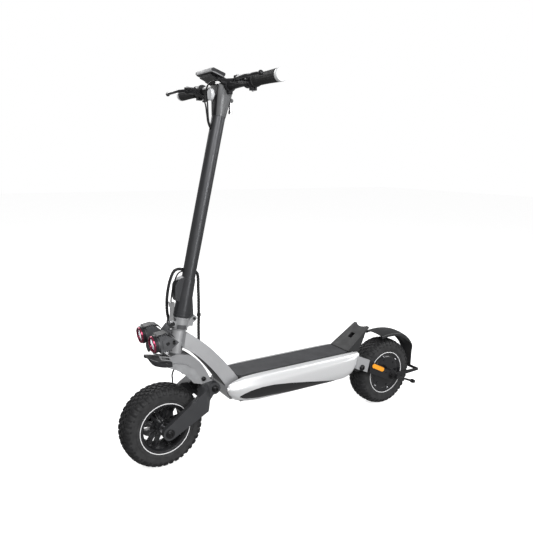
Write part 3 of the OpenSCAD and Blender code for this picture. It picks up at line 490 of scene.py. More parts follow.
def screen_glass():
    """Display glass: deep blue-black with a faint smudge map."""
    s = Shader("screen_glass", (0.008, 0.011, 0.02), 0.09)
    s.vary_color(s.noise(40, 3.0), 0.6, 1.6)
    s.vary_rough(s.noise(22, 5.0), 0.06)
    s.set(Coat_Weight=1.0, Coat_Roughness=0.03)
    return s.mat


def glow(name, color, strength):
    """Lamp chip: phosphor yellow, faintly lit."""
    s = Shader(name, color, 0.35)
    s.vary_color(s.noise(900, 2.0), 0.8, 1.2)
    s.set(Emission_Color=(*color, 1.0), Emission_Strength=strength)
    return s.mat


PAINTS = {
    # name: colour, roughness, metallic, clear coat, flake
    "frame_silver": ((0.48, 0.484, 0.495), 0.38, 0.5),
    "tray_dark": ((0.06, 0.06, 0.063), 0.45, 0.6),
    "trim_gloss": ((0.01, 0.01, 0.011), 0.14, 0.0, 0.4),
    "plate_grey": ((0.02, 0.0205, 0.0215), 0.55, 0.1),
    "arch_grey": ((0.34, 0.343, 0.352), 0.38, 0.45),
    "ring_red": ((0.30, 0.025, 0.07), 0.25, 0.8, 0.5),
    "arm_grey": ((0.055, 0.056, 0.06), 0.42, 0.4),
    "arm_black": ((0.018, 0.018, 0.02), 0.38, 0.2),
    "rim_black": ((0.02, 0.02, 0.022), 0.3, 0.3, 0.3),
    "stripe_white": ((0.85, 0.85, 0.86), 0.4, 0.0),
    "caliper": ((0.04, 0.04, 0.043), 0.4, 0.7),
    "motor_black": ((0.012, 0.012, 0.014), 0.22, 0.2, 0.5),
    "bar_black": ((0.016, 0.016, 0.018), 0.36, 0.3),
    "stem_grey": ((0.07, 0.071, 0.075), 0.4, 0.8, 0.0, 0.01),
    "foot_grey": ((0.055, 0.056, 0.06), 0.34, 0.6),
    "lever_black": ((0.02, 0.02, 0.022), 0.3, 0.5),
}
PLASTICS = {
    # name: colour, roughness
    "guard_grey": ((0.26, 0.263, 0.27), 0.42),
    "black_plastic": ((0.016, 0.016, 0.018), 0.42),
    "lamp_grey": ((0.30, 0.303, 0.31), 0.45),
    "lamp_dark": ((0.07, 0.071, 0.075), 0.4),
    "fender_grey": ((0.022, 0.0225, 0.024), 0.42),
    "cap_white": ((0.82, 0.83, 0.84), 0.3),
    "button_red": ((0.45, 0.02, 0.02), 0.4),
    "battery": ((0.03, 0.10, 0.4), 0.35),
}
RUBBERS = {
    # name: colour, roughness, grain
    "soft_black": ((0.014, 0.014, 0.015), 0.6, 500),
    "tyre": ((0.032, 0.032, 0.033), 0.68, 350),
    "tyre_tread": ((0.016, 0.016, 0.017), 0.5, 260),
    "grip_rubber": ((0.03, 0.03, 0.031), 0.68, 700),
    "cable_black": ((0.015, 0.015, 0.016), 0.5, 900),
}
METALS = {
    # name: colour, roughness
    "bolt_black": ((0.05, 0.05, 0.052), 0.35),
    "bolt_steel": ((0.55, 0.55, 0.57), 0.26),
    "polished": ((0.72, 0.72, 0.73), 0.14),
    "lamp_bowl": ((0.8, 0.8, 0.82), 0.12),
    "disc_steel": ((0.62, 0.62, 0.63), 0.22),
    "controller": ((0.45, 0.45, 0.47), 0.4),
}
REFLECTORS = {
    # name: colour
    "amber": ((0.95, 0.33, 0.01),),
    "white_reflector": ((0.75, 0.76, 0.78),),
}
MAT = {
    "deck_rubber": deck_rubber(),
    "cover_silver": silver_cover_paint(),
    "lamp_glass": lens_glass(),
    "lamp_chip": glow("lamp_chip", (0.9, 0.8, 0.35), 0.6),
    "head_silver": head_paint(),
    "screen": screen_glass(),
}
for kind, table in ((paint, PAINTS), (plastic, PLASTICS), (rubber, RUBBERS), (metal, METALS),
                    (prismatic, REFLECTORS)):
    for title, values in table.items():
        MAT[title] = kind(title, *values)

# look: the CAD nodes that have it
CAD_LOOKS = {
    "frame_silver": "neck_frame rear_pivot_blocks",
    "tray_dark": "deck_tray deck_lid",
    "deck_rubber": "deck_mat",
    "cover_silver": "side_cover_left side_cover_right",
    "trim_gloss": "side_trims",
    "battery": "battery_pack",
    "controller": "motor_controller",
    "plate_grey": "kick_plate",
    "bolt_steel": "headset_bearings front_bearings",
    "bolt_black": "chassis_bolts pivot_pins front_axle motor_axle",
    "soft_black": "charge_port_cap front_buffer",
    "arch_grey": "fork_arch fold_base",
    "lamp_dark": "lamp_bracket lamp_left lamp_right",
    "black_plastic": "horn lever_mounts display_case switch_pod thumb_throttle",
    "guard_grey": "front_mudguard",
    "polished": "fold_latch stem_hook",
    "lamp_glass": "lamp_left_lens lamp_right_lens",
    "arm_grey": "front_swingarm",
    "caliper": "front_caliper rear_caliper",
    "rim_black": "front_rim",
    "disc_steel": "front_disc rear_disc",
    "arm_black": "rear_swingarm",
    "fender_grey": "rear_fender",
    "amber": "side_reflectors",
    "motor_black": "motor_shell",
    "bar_black": "kickstand handlebar",
    "foot_grey": "stem_foot",
    "stem_grey": "stem_tube",
    "head_silver": "stem_head",
    "grip_rubber": "grips",
    "screen": "display_screen",
    "white_reflector": "front_reflector",
    "lever_black": "brake_lever_left brake_lever_right",
    "button_red": "mode_button",
    "cable_black": "brake_cables cable_bundles front_brake_hose",
    "tyre": "front_tyre rear_tyre",
}


def dress_cad():
    """Gives each CAD node its material, smooth except at its edges."""
    for look, nodes in CAD_LOOKS.items():
        for node in nodes.split():
            obj = NODES[node]
            obj.data.materials.clear()
            obj.data.materials.append(MAT[look])
            obj.data.shade_smooth()
            weld = obj.modifiers.new("weld", "WELD")
            weld.merge_threshold = 0.01 * MM
            split = obj.modifiers.new("edges", "EDGE_SPLIT")
            split.split_angle = math.radians(28)


# ---------------------------------------------------------------- wheels
def crown_path():
    """Half section of the carcass from the crown to the bead, as (radius, half width)."""
    r = WHEEL_R - 3.5 * MM
    pts = [(r, 0), (r - 0.4 * MM, 12 * MM), (r - 1.6 * MM, 22 * MM), (r - 4.6 * MM, 31 * MM),
           (r - 10 * MM, 37.2 * MM), (r - 17 * MM, 39.6 * MM), (r - 30 * MM, 39.6 * MM),
           (r - 38 * MM, 38.2 * MM), (RIM_R + 0.8 * MM, 37 * MM), (RIM_R - 4 * MM, 33 * MM)]
    curve = catmull([Vector((a, b, 0)) for a, b in pts], 6)
    return resample(curve, 1.6 * MM)


def along(path, s):
    """Point and outward normal on the carcass, s metres from the crown."""
    travelled = 0.0
    for a, b in zip(path, path[1:]):
        step = (b - a).length
        if travelled + step >= s:
            p = a.lerp(b, (s - travelled) / step)
            t = (b - a).normalized()
            return p, Vector((t.y, -t.x, 0))
        travelled += step
    return path[-1], Vector((0, 1, 0))


def knob(build, path, side, s0, s1, angle, half, height, lean):
    """One tread block from s0 to s1 across the tyre, half metres to each side of angle."""
    ease = 0.18 * (s1 - s0)
    sections = ((s0, 0.72, 0.0), (s0 + ease, 1.0, 0.2), ((s0 + s1) / 2, 1.0, 0.5),
                (s1 - ease, 1.0, 0.8), (s1, 0.72, 1.0))
    rings = []
    for s, top, t in sections:
        p, n = along(path, s)
        a = angle + lean * (t - 0.5)
        spread = half / p.x
        ring = []
        for da, up in ((-1.08, -0.35), (-1, 0.75), (-0.8, 1.0), (0.8, 1.0), (1, 0.75),
                       (1.08, -0.35)):
            rise = height * up * (top if up > 0 else 1)
            q = p + n * rise
            b = a + da * spread
            ring.append(Vector((q.x * math.cos(b), side * q.y, q.x * math.sin(b))))
        rings.append(ring if side > 0 else list(reversed(ring)))
    build.add(*loft(rings), mat=1)


# blocks of one tread pitch: from, to, half length and height in mm, lean, shift in half pitches
INNER_BLOCKS = ((1.2, 10.5, 5.2, 3.5, 0.03, 0), (13, 22, 5.4, 3.4, -0.04, 1))
LONG_SHOULDER = ((25, 46, 5.8, 3.0, 0.0, 0),)
SPLIT_SHOULDER = ((25, 41, 5.0, 3.0, 0.0, 0), (44, 49, 3.4, 1.6, 0.0, 0))


def knobby_tyre(name, hub, body, node):
    """Off-road tyre: carcass with rings on its walls and four rows of staggered blocks."""
    path = crown_path()
    build = Build()
    outer = [(p.x, p.y) for p in path]
    inner = [(RIM_R - 3 * MM, 29 * MM), (RIM_R + 8 * MM, 33 * MM), (RIM_R + 30 * MM, 33 * MM),
             (WHEEL_R - 10 * MM, 20 * MM)]
    half = outer + inner
    section = half + [(r, -y) for r, y in reversed(half) if y > 1e-6]
    segments = 120
    rings = []
    for k in range(segments + 1):
        a = TAU * k / segments
        rings.append([Vector((r * math.cos(a), y, r * math.sin(a))) for r, y in section])
    build.add(*loft(rings[:-1] + [rings[0]], caps=False))
    pitches = 40
    step = TAU / pitches
    for i in range(pitches):
        rows = INNER_BLOCKS + (SPLIT_SHOULDER if i % 2 else LONG_SHOULDER)
        for side in (-1, 1):
            stagger = 0 if side > 0 else 1
            for s0, s1, half_length, height, lean, shift in rows:
                knob(build, path, side, s0 * MM, s1 * MM, step * (i + (stagger + shift) / 2),
                     half_length * MM, height * MM, lean)
    for side in (-1, 1):
        for radius in (RIM_R + 9 * MM, RIM_R + 11.5 * MM):
            build.add(*sidewall_ring(path, side, radius))
    build.verts = [v + hub for v in build.verts]
    return build.piece(name, [MAT["tyre"], MAT["tyre_tread"]], body, 38,
                       replaces=(node,))


def sidewall_ring(path, side, radius):
    """Thin raised ring on the tyre's wall at a given radius."""
    width, rise, root = 0.9 * MM, 0.5 * MM, -0.3 * MM
    s = 0.0
    for a, b in zip(path, path[1:]):
        if b.x <= radius:
            break
        s += (b - a).length
    section = []
    for ds, up in ((-width, root), (-width * 0.5, rise), (width * 0.5, rise), (width, root)):
        p, n = along(path, s + ds)
        q = p + n * up
        section.append((q.x, q.y))
    segments = 96
    rings = []
    for k in range(segments):
        a = TAU * k / segments
        ring = [Vector((r * math.cos(a), side * y, r * math.sin(a))) for r, y in section]
        rings.append(ring if side > 0 else list(reversed(ring)))
    return loft(rings + [rings[0]], caps=False)


def rim_stripes(name, hub, body):
    """White pinstripe on the rim's edge, both sides of the wheel."""
    build = Build()
    w = 38.2 * MM
    section = [(RIM_R - 2.2 * MM, w), (RIM_R - 1.9 * MM, w + 0.5 * MM),
               (RIM_R + 0.1 * MM, w + 0.5 * MM), (RIM_R + 0.4 * MM, w),
               (RIM_R + 0.1 * MM, w - 1.0 * MM), (RIM_R - 1.9 * MM, w - 1.0 * MM)]
    verts, faces = lathe(section, 96, closed=True)
    build.add(verts, faces, matrix=axis_matrix((0, 0, 0), (0, 1, 0)))
    build.mirror_y()
    build.verts = [v + hub for v in build.verts]
    return build.piece(name, [MAT["stripe_white"]], body, 50)


# ---------------------------------------------------------------- deck
COVER_STATIONS = [
    # x, low z, high z, half width
    (-266, 236, 243, 62), (-262, 220, 246, 69), (-250, 188, 247.5, 72), (-232, 166, 248, 75),
    (-190, 157, 249, 78.6), (-20, 157, 249, 79), (150, 159, 249, 78.6), (205, 165, 247, 75.5),
    (240, 175, 240, 71), (262, 191, 231, 65), (270, 205, 224, 60)]
COVER_REAR = COVER_STATIONS[0][0]
COVER_FRONT = COVER_STATIONS[-1][0]
COVER_IN = 55.6


def cover_station(x):
    """Low z, high z and half width of the side cover at x, smoothed between stations."""
    rows = COVER_STATIONS
    i = max(k for k in range(len(rows) - 1) if rows[k][0] <= x)
    t = (x - rows[i][0]) / (rows[i + 1][0] - rows[i][0])
    out = []
    for c in (1, 2, 3):
        slopes = []
        for k in (i, i + 1):
            a, b = rows[max(k - 1, 0)], rows[min(k + 1, len(rows) - 1)]
            left = (rows[k][c] - a[c]) / max(rows[k][0] - a[0], 1e-6)
            right = (b[c] - rows[k][c]) / max(b[0] - rows[k][0], 1e-6)
            slopes.append(0 if left * right <= 0 else 2 * left * right / (left + right))
        span = rows[i + 1][0] - rows[i][0]
        h00, h10 = 2 * t ** 3 - 3 * t * t + 1, t ** 3 - 2 * t * t + t
        h01, h11 = 3 * t * t - 2 * t ** 3, t ** 3 - t * t
        out.append(h00 * rows[i][c] + h10 * span * slopes[0]
                   + h01 * rows[i + 1][c] + h11 * span * slopes[1])
    return out


def cover_section(x):
    """Outer line of the side cover at x, from its top inner edge down to its bottom one."""
    low, high, w = cover_station(x)
    mid, h = (low + high) / 2, (high - low) / 2
    ridge = 0.42 - 0.30 * min(max((x + 200) / 440, 0), 1)
    top_in = max(COVER_IN, w - 18)
    pts = [(COVER_IN, mid + h), (top_in, mid + h), (w - 7, mid + 0.9 * h),
           (w - 2.2, mid + (0.42 + 0.5 * ridge) * h), (w, mid + ridge * h),
           (w - 2.4, mid - 0.28 * h), (w - 6.5, mid - 0.62 * h), (w - 13, mid - 0.88 * h),
           (max(COVER_IN, w - 22), mid - h), (COVER_IN, mid - h)]
    return [Vector((x, max(p.x, COVER_IN), p.y)) for p in
            catmull([Vector((a, b, 0)) for a, b in pts], 4)]


def side_cover(side, node):
    """Moulded cover, closed on its inner face, with its sections closer near both ends."""
    build = Build()
    rings = []
    count = 84
    for i in range(count + 1):
        share = 0.5 - 0.5 * math.cos(math.pi * i / count)
        x = COVER_REAR + (COVER_FRONT - COVER_REAR) * share
        rings.append([v * MM for v in cover_section(min(x, COVER_FRONT - 0.001))])
    build.add(*loft(rings))
    if side < 0:
        build.flip_y()
    name = "cover_shell_left" if side > 0 else "cover_shell_right"
    return build.piece(name, [MAT["cover_silver"]], "chassis", 50,
                       replaces=(node,))


# x and z of the blade's top edge
BLADE_TOP = [(-168, 160), (-100, 174), (-30, 188), (40, 200), (110, 209), (155, 210),
             (192, 205), (218, 197), (236, 187)]
BLADE_REAR = BLADE_TOP[0][0] + 0.5
BLADE_FRONT = BLADE_TOP[-1][0] - 0.5
BLADE_NOSE = 205


def cover_point(x, z):
    """Point on the cover's outer face at height z."""
    line = cover_section(x)
    for a, b in zip(line, line[1:]):
        if a.z >= z >= b.z and a.z > b.z:
            return a.lerp(b, (a.z - z) / (a.z - b.z))
    return line[-1]


def blade_rows(x):
    """Heights of the blade's top and bottom edges at x."""
    for (x0, z0), (x1, z1) in zip(BLADE_TOP, BLADE_TOP[1:]):
        if x0 <= x <= x1:
            top = z0 + (z1 - z0) * (x - x0) / (x1 - x0)
    low = cover_station(x)[0]
    rise = min(max(x / 150, 0.0), 1.0)
    nose = max(0.0, (x - BLADE_NOSE) / (BLADE_TOP[-1][0] - BLADE_NOSE))
    bottom = low + 1.2 + 7.5 * rise * rise * (3 - 2 * rise) + 7 * nose * nose
    return top, min(bottom, top - 0.5)


def trim_blades():
    """Gloss black blade let into the lower half of each cover."""
    build = Build()
    rings = []
    rows, columns = 9, 60
    sunk, proud = 0.4, 1.9
    for i in range(columns + 1):
        x = BLADE_REAR + (BLADE_FRONT - BLADE_REAR) * i / columns
        top, bottom = blade_rows(x)
        end = min(1.0, i / 3, (columns - i) / 3)
        outer, inner = [], []
        for j in range(rows + 1):
            t = j / rows
            p = cover_point(x, top + (bottom - top) * t)
            edge = min(1.0, t * 5, (1 - t) * 5)
            lift = proud * edge * end - sunk
            outer.append(Vector((p.x, p.y + lift, p.z - 0.4 * t * lift)) * MM)
            inner.append(Vector((p.x, p.y - 1.0, p.z)) * MM)
        rings.append(outer + list(reversed(inner)))
    build.add(*loft(rings))
    build.mirror_y()
    return build.piece("trim_blades", [MAT["trim_gloss"]], "chassis", 40,
                       replaces=("side_trims",))


def bezier(a, b, c, d, n=12):
    """Cubic curve in the XZ plane through a and d."""
    out = []
    for i in range(n + 1):
        t = i / n
        s = 1 - t
        x = s ** 3 * a[0] + 3 * s * s * t * b[0] + 3 * s * t * t * c[0] + t ** 3 * d[0]
        z = s ** 3 * a[1] + 3 * s * s * t * b[1] + 3 * s * t * t * c[1] + t ** 3 * d[1]
        out.append(Vector((x, 0, z)))
    return out


def hook_pocket():
    """Black moulded pocket behind the footrest's slot, open to the front."""
    rake = math.radians(180 + 34.8)
    place = Matrix.Rotation(rake, 4, "Y")
    place.translation = mm(-225, 0, 252.2)
    outer = ((52, -14), (84, -14), (84, 14), (52, 14))
    inner = ((55.5, -10.5), (80.5, -10.5), (80.5, 10.5), (55.5, 10.5))
    mouth, floor, back = 4.6, 21, 22.4
    rings = [[mm(x, y, z) for x, y in shape] for shape, z in
             ((inner, mouth), (inner, floor), (inner, back), (outer, back),
              (outer, mouth + 0.6), (inner, mouth + 0.6))]
    build = Build()
    build.add(*loft(rings, caps=False), matrix=place)
    build.add([mm(x, y, floor) for x, y in inner], [(0, 1, 2, 3)], matrix=place)
    return build.piece("hook_pocket", [MAT["black_plastic"]], "chassis", 30)


def neck_underside_strip():
    """Black strip along the underside of the neck, with chamfered edges."""
    curve = bezier((267, 222), (303, 280), (360, 345), (404, 369))
    half, thick = 36.5, 1.2
    build = Build()
    rings = []
    for i, p in enumerate(curve):
        t = tangent(curve, i)
        down = Vector((t.z, 0, -t.x))
        ring = []
        for y, up in ((-half, 0.0), (-half + thick, 1.0), (half - thick, 1.0), (half, 0.0),
                      (half - thick, -0.4), (-half + thick, -0.4)):
            ring.append((p + down * thick * up + Vector((0, y, 0))) * MM)
        rings.append(ring)
    build.add(*loft(rings))
    return build.piece("neck_underside_strip", [MAT["black_plastic"]], "chassis", 40)


# ---------------------------------------------------------------- bolts
def bolt_set(name, body, look, heads):
    """Screw heads of one body; each head is (place, axis, radius, height)."""
    build = Build()
    for place, axis, r, h in heads:
        matrix = axis_matrix(mm(*place), axis)
        build.add(*socket_head(r * MM, h * MM), matrix=matrix)
        rim = r * 1.28
        washer = [(0, -0.4), (rim, -0.4), (rim, 0.5), (r * 1.2, 0.9), (0, 0.9)]
        build.turn(washer, matrix, 36)
    return build.piece(name, [MAT[look]], body, 30)


def all_bolts():
    """Screw heads of each body, in millimetres; most are in pairs on both sides."""
    left, right = (0, 1, 0), (0, -1, 0)
    both = ((1, left), (-1, right))
    fp, rp = joint_at("front_suspension") / MM, joint_at("rear_suspension") / MM
    front, rear = FRONT / MM, REAR / MM
    bolt_set("pivot_caps_chassis", "chassis", "bolt_black",
             [((rp.x, s * 80.2, rp.z), a, 8.2, 3.2) for s, a in both])
    bolt_set("pivot_caps_steering", "steering", "bolt_black",
             [((fp.x, s * 54, fp.z), a, 8.6, 5.5) for s, a in both]
             + [((338, s * 32, 257), a, 5.6, 4.2) for s, a in both])
    bolt_set("axle_caps_front", "front_arm", "bolt_black",
             [((front.x, s * 75.5, front.z), a, 8.8, 4.5) for s, a in both])
    bolt_set("axle_caps_rear", "rear_arm", "bolt_black",
             [((rear.x, s * 71, rear.z), a, 9.5, 5.5) for s, a in both]
             + [((-400, 69.8, 146), left, 3.6, 2.5), ((-330, 69.8, 176), left, 3.6, 2.5)])
    count, circle_r = 6, 66
    turns = [TAU * (i + 0.3) / count for i in range(count)]
    bolt_set("motor_cover_screws", "rear_wheel", "bolt_steel",
             [((rear.x + circle_r * math.cos(b), s * 36.2, rear.z + circle_r * math.sin(b)),
               a, 2.9, 2.4) for b in turns for s, a in both])
    bolt_set("lever_clamp_screws", "stem", "bolt_steel",
             [((252, 165, 1104.5), (0, 0, -1), 3.4, 3.0)]
             + [((296, s * 158, 1139.5), (0, 0, 1), 4.2, 2.6) for s in (1, -1)])
    bolt_set("kick_plate_screws", "chassis", "bolt_black",
             [((-236, s * 24, 250.5), (0, 0, 1), 4.2, 2.6) for s in (1, -1)])


# ---------------------------------------------------------------- lamps
LAMP_TILT = math.radians(7)


def lamp_matrix(side):
    """Lamp frame at rest: local z out of the nose, local y up."""
    place = joint_at("left_lamp_tilt" if side > 0 else "right_lamp_tilt")
    out = Vector((math.cos(LAMP_TILT), 0, -math.sin(LAMP_TILT)))
    return axis_matrix(place + Vector((math.sin(LAMP_TILT), 0, math.cos(LAMP_TILT))) * MM, out)


def lamp_parts(side):
    """Red bezel, reflector bowl, light chips, lens and black covers of one lamp."""
    word = "left" if side > 0 else "right"
    body = word + "_lamp"
    m = lamp_matrix(side)
    ring = Build()
    section = [(20.2, 54.5), (20.4, 58.6), (21.6, 60.2), (23.8, 59.8), (25.0, 57.6), (25.0, 54.5)]
    ring.turn(section, m, 72, closed=True)
    screws, circle_r, seat = 8, 22.4, 59.4
    for k in range(screws):
        a = TAU * (k + 0.5) / screws
        at = m @ Matrix.Translation(mm(circle_r * math.cos(a), circle_r * math.sin(a), seat))
        ring.add(*socket_head(1.7 * MM, 1.4 * MM), mat=1, matrix=at)
    ring.piece(f"lamp_ring_{word}", [MAT["ring_red"], MAT["bolt_black"]], body, 30)

    bowl = Build()
    profile = [(0.0, 45.2), (6.5, 45.2), (7.0, 46.2), (11, 47.6), (15.5, 50.2), (19.8, 54.6),
               (20.2, 54.6), (20.2, 45), (0.0, 44.6)]
    bowl.turn(profile, m)
    chip, apart, seat, height = 3.8, 2.6, 45.2, 2.0
    for i in (-1, 1):
        for j in (-1, 1):
            low = mm(i * apart - chip / 2, j * apart - chip / 2, seat)
            bowl.add(*box_mesh(low, low + mm(chip, chip, height)), mat=1, matrix=m)
    bowl.piece(f"lamp_bowl_{word}", [MAT["lamp_bowl"], MAT["lamp_chip"]], body,
               30)

    lens = Build()
    dome = [(0.0, 57.4), (6, 57.2), (12, 56.6), (17, 55.6), (20.0, 54.8), (20.0, 53.6),
            (0.0, 53.6)]
    lens.turn(dome, m)
    lens.piece(f"lamp_glass_{word}", [MAT["lamp_glass"]], body, 40,
               replaces=(f"lamp_{word}_lens",))

    cover = Build()
    roof = [(25.2, 48), (27.8, 44), (28.4, 20), (22.5, 2), (10.5, -6), (8.5, -5), (19, 4),
            (25.2, 20)]
    half, edge = 17.5, 1.5
    rings = []
    for y in (-half, -half + edge, half - edge, half):
        inset = 1.2 if abs(y) == half else 0.0
        rings.append([mm(y, up - inset, out) for up, out in roof])
    cover.add(*loft(rings), matrix=m)
    fins, first, pitch, thick = 6, 8, 6.2, 3
    for k in range(fins):
        z = first + k * pitch
        cover.add(*box_mesh(mm(-19, -27.5, z), mm(19, -20, z + thick)), matrix=m)
    shade = ((24.6, 46), (26.4, 46.5), (26.8, 54), (25.2, 55.6), (24.6, 55.6))
    cover.turn(shade, m, 60, closed=True)
    made = cover.piece(f"lamp_cover_{word}", [MAT["black_plastic"]], body, 30)
    bevel(made, 0.5 * MM)
    bolt_set(f"lamp_screw_{word}", body, "bolt_black",
             [((471, side * 75.4, 406), (0, side, 0), 4.6, 2.2),
              ((452, side * 75.4, 404), (0, side, 0), 3.0, 1.8)])


# ---------------------------------------------------------------- front end
def guard_nose_and_painted_shadow():
    """Black nose over the front of the mudguard, with the two loops that stand on it. Its black is
    partly black plastic and partly painted shadow of the lamps above.
    """
    build = Build()
    top = catmull([mm(510, 0, 350.5), mm(503, 0, 345), mm(486, 0, 339.5), mm(466, 0, 334.5),
                   mm(446, 0, 333)], 5)
    rings = []
    for i, p in enumerate(top):
        t = i / (len(top) - 1)
        half = (17 + 28.4 * math.sin(0.5 * math.pi * min(1, t * 1.5)) ** 0.8) * MM
        drop = (4 + 8 * min(1, t * 3)) * MM
        ring = []
        for y, z in ((-1, -1.0), (-1, -0.12), (-0.93, 0.12), (-0.4, 0.26), (0.4, 0.26),
                     (0.93, 0.12), (1, -0.12), (1, -1.0), (0.95, -1.0), (0.93, -0.3),
                     (-0.93, -0.3), (-0.95, -1.0)):
            ring.append(p + Vector((0, y * half, z * drop)))
        rings.append(ring)
    build.add(*loft(rings))
    # black nose: black plastic, and painted shadow of the lamps over the mudguard's front
    nose = build.piece("guard_nose_and_painted_shadow", [MAT["black_plastic"]], "steering", 35)
    bevel(nose, 0.5 * MM)

    loops = Build()
    outer = [(441, 333), (476, 343), (483, 357), (448, 347)]
    inner = [(447.5, 337.5), (473, 344.8), (476.5, 352.6), (451, 345)]
    verts = [mm(x, y, z) for y in (26, 33) for x, z in outer + inner]
    faces = []
    for k in range(4):
        n = (k + 1) % 4
        faces += [(k, n, n + 4, k + 4), (k + 8, k + 12, n + 12, n + 8),
                  (k, k + 8, n + 8, n), (k + 4, n + 4, n + 12, k + 12)]
    loops.add(verts, faces)
    loops.mirror_y()
    bevel(loops.piece("guard_loops", [MAT["lamp_grey"]], "steering", 30), 0.9 * MM)


def steering_rings():
    """Rings round the steering axis: two on the collar and two on the stem's foot."""
    place = axis_matrix(FRONT, STEER_UP)
    for name, look, slot, body, chamfer, rings in (
            ("collar_rings", "arch_grey", "arch_grey", "steering", 0.5,
             ((300.2, 26.2, 3.4), (331.5, 26.4, 4.0))),
            ("foot_rings", "foot_grey", "stem_grey", "stem", 0.6,
             ((340.5, 26.8, 5.0), (352.5, 26.0, 2.4)))):
        build = Build()
        for w, r, h in rings:
            build.turn([(r - 3, w), (r, w + chamfer), (r, w + h - chamfer), (r - 3, w + h)],
                       place, 72, closed=True)
        build.piece(name, [MAT[look]], body, 30)


# ---------------------------------------------------------------- cables
BUNDLE_R = 4.6
BUNDLE_STEP = 1.5
HOSE_STEP = 4
BAND_Z = 455 * MM
FRONT_BUNDLE = [(378, -10, 597), (389, -10, 599), (402, -11, 600), (414, -12, 593),
                (424, -13, 572), (431, -14, 545), (436, -14, 510), (436, -14, 475),
                (433, -14, 456), (432, -13.5, 440)]
REAR_BUNDLE = [(358, 0, 592), (349, 0, 590), (342, 0, 581), (340, 0, 562), (340, 0, 540),
               (339, 0, 510), (339, 0, 480), (339, 0, 450), (340, 0, 420), (340, 0, 390),
               (340, 0, 366)]
LEVER_HOSE = [(312, 131, 1130), (322, 118.5, 1130.5), (330, 95, 1130), (332, 65, 1126),
              (326, 36, 1116), (316, 16, 1100), (309, 7, 1078), (306, 4, 1050),
              (303, 3.2, 1028), (296, 3, 1012), (287, 3, 1006)]
CALIPER_HOSE = [(396, -37, 303), (400, -37.5, 294), (404, -39, 283), (407, -46, 269),
                (408, -52, 254), (406, -54, 236), (408, -53, 214), (417, -51, 199)]


def route(points, gap, shift=(0, 0, 0)):
    """Smooth line through given points, moved by shift; all in millimetres."""
    return resample(catmull([mm(*p) + Vector(shift) * MM for p in points], 8), gap * MM)


def cord(name, points, radius, sides, body, replaces=(), both=False):
    """One cable along points, alone or with its mirror image."""
    build = Build()
    build.add(*sweep(points, radius, sides))
    if both:
        build.mirror_y()
    build.piece(name, [MAT["cable_black"]], body, 60, replaces=replaces)


def cables():
    """Wound bundles in front of and behind the stem, and the brake hoses."""
    wrap = spiral_wrap(BUNDLE_R * MM)
    front_bend = ("stem", "steering", mm(436, 0, 530), mm(433, 0, 452))
    cord("front_bundle", route(FRONT_BUNDLE, BUNDLE_STEP), wrap, 14, front_bend,
         ("cable_bundles",))
    cord("front_lead", route(FRONT_BUNDLE, HOSE_STEP, (-9, 9, -6)), 2.2 * MM, 10, front_bend,
         ("cable_bundles",))
    rear = route(REAR_BUNDLE, BUNDLE_STEP)
    cut = min(range(len(rear)), key=lambda i: abs(rear[i].z - BAND_Z))
    cord("rear_bundle_upper", rear[:cut + 1], wrap, 14,
         ("stem", "steering", mm(340, 0, 540), mm(340, 0, 462)))
    cord("rear_bundle_lower", rear[cut:], wrap, 14,
         ("steering", "chassis", mm(340, 0, 452), mm(340, 0, 396)))
    clip = Build()
    band = [(4.4, -4), (6.2, -3.4), (6.2, 3.4), (4.4, 4)]
    clip.turn(band, Matrix.Translation(rear[cut]), 32, closed=True)
    clip.piece("bundle_band", [MAT["soft_black"]], "steering", 40)
    cord("caliper_hose", route(CALIPER_HOSE, HOSE_STEP), 2.4 * MM, 10,
         ("steering", "front_arm", mm(400, 0, 290), mm(410, 0, 210)), ("front_brake_hose",))
    cord("lever_hoses", route(LEVER_HOSE, HOSE_STEP), 2.2 * MM, 10, "stem",
         ("brake_cables",), both=True)


# ---------------------------------------------------------------- cockpit
BAR_X = 252
BAR_Z = 1130
BAR_PLACE = axis_matrix(mm(BAR_X, 0, BAR_Z), (0, 1, 0))
LEVER_PIVOT = (296, 158)


def handlebar_tube():
    """Straight bar: thick in the clamp, with an eased taper out to the grips."""
    thick_r, thin_r, bore_r = 12.7, 11.1, 8.6
    end, bore_end = 303, 280
    taper_from, taper_to, steps = 46, 108, 28
    half = []
    for i in range(steps + 1):
        t = i / steps
        ease = t * t * (3 - 2 * t)
        half.append((thick_r + (thin_r - thick_r) * ease, taper_from + (taper_to - taper_from) * t))
    half += [(thin_r, 150), (thin_r, end - 0.8), (thin_r - 0.7, end)]
    outside = [(r, -y) for r, y in reversed(half)] + half
    inside = [(bore_r, end), (bore_r, bore_end)]
    build = Build()
    build.turn([(r, -y) for r, y in reversed(inside)] + outside + inside, BAR_PLACE)
    knurl = [(thick_r, -0.5), (13.1, 0.0), (13.1, 1.2), (thick_r, 1.7)]
    for y in (-47, 45.8):
        build.turn([(r, h + y) for r, h in knurl], BAR_PLACE, closed=True)
    return build.piece("handlebar_tube", [MAT["bar_black"]], "stem", 40,
                       replaces=("handlebar",))


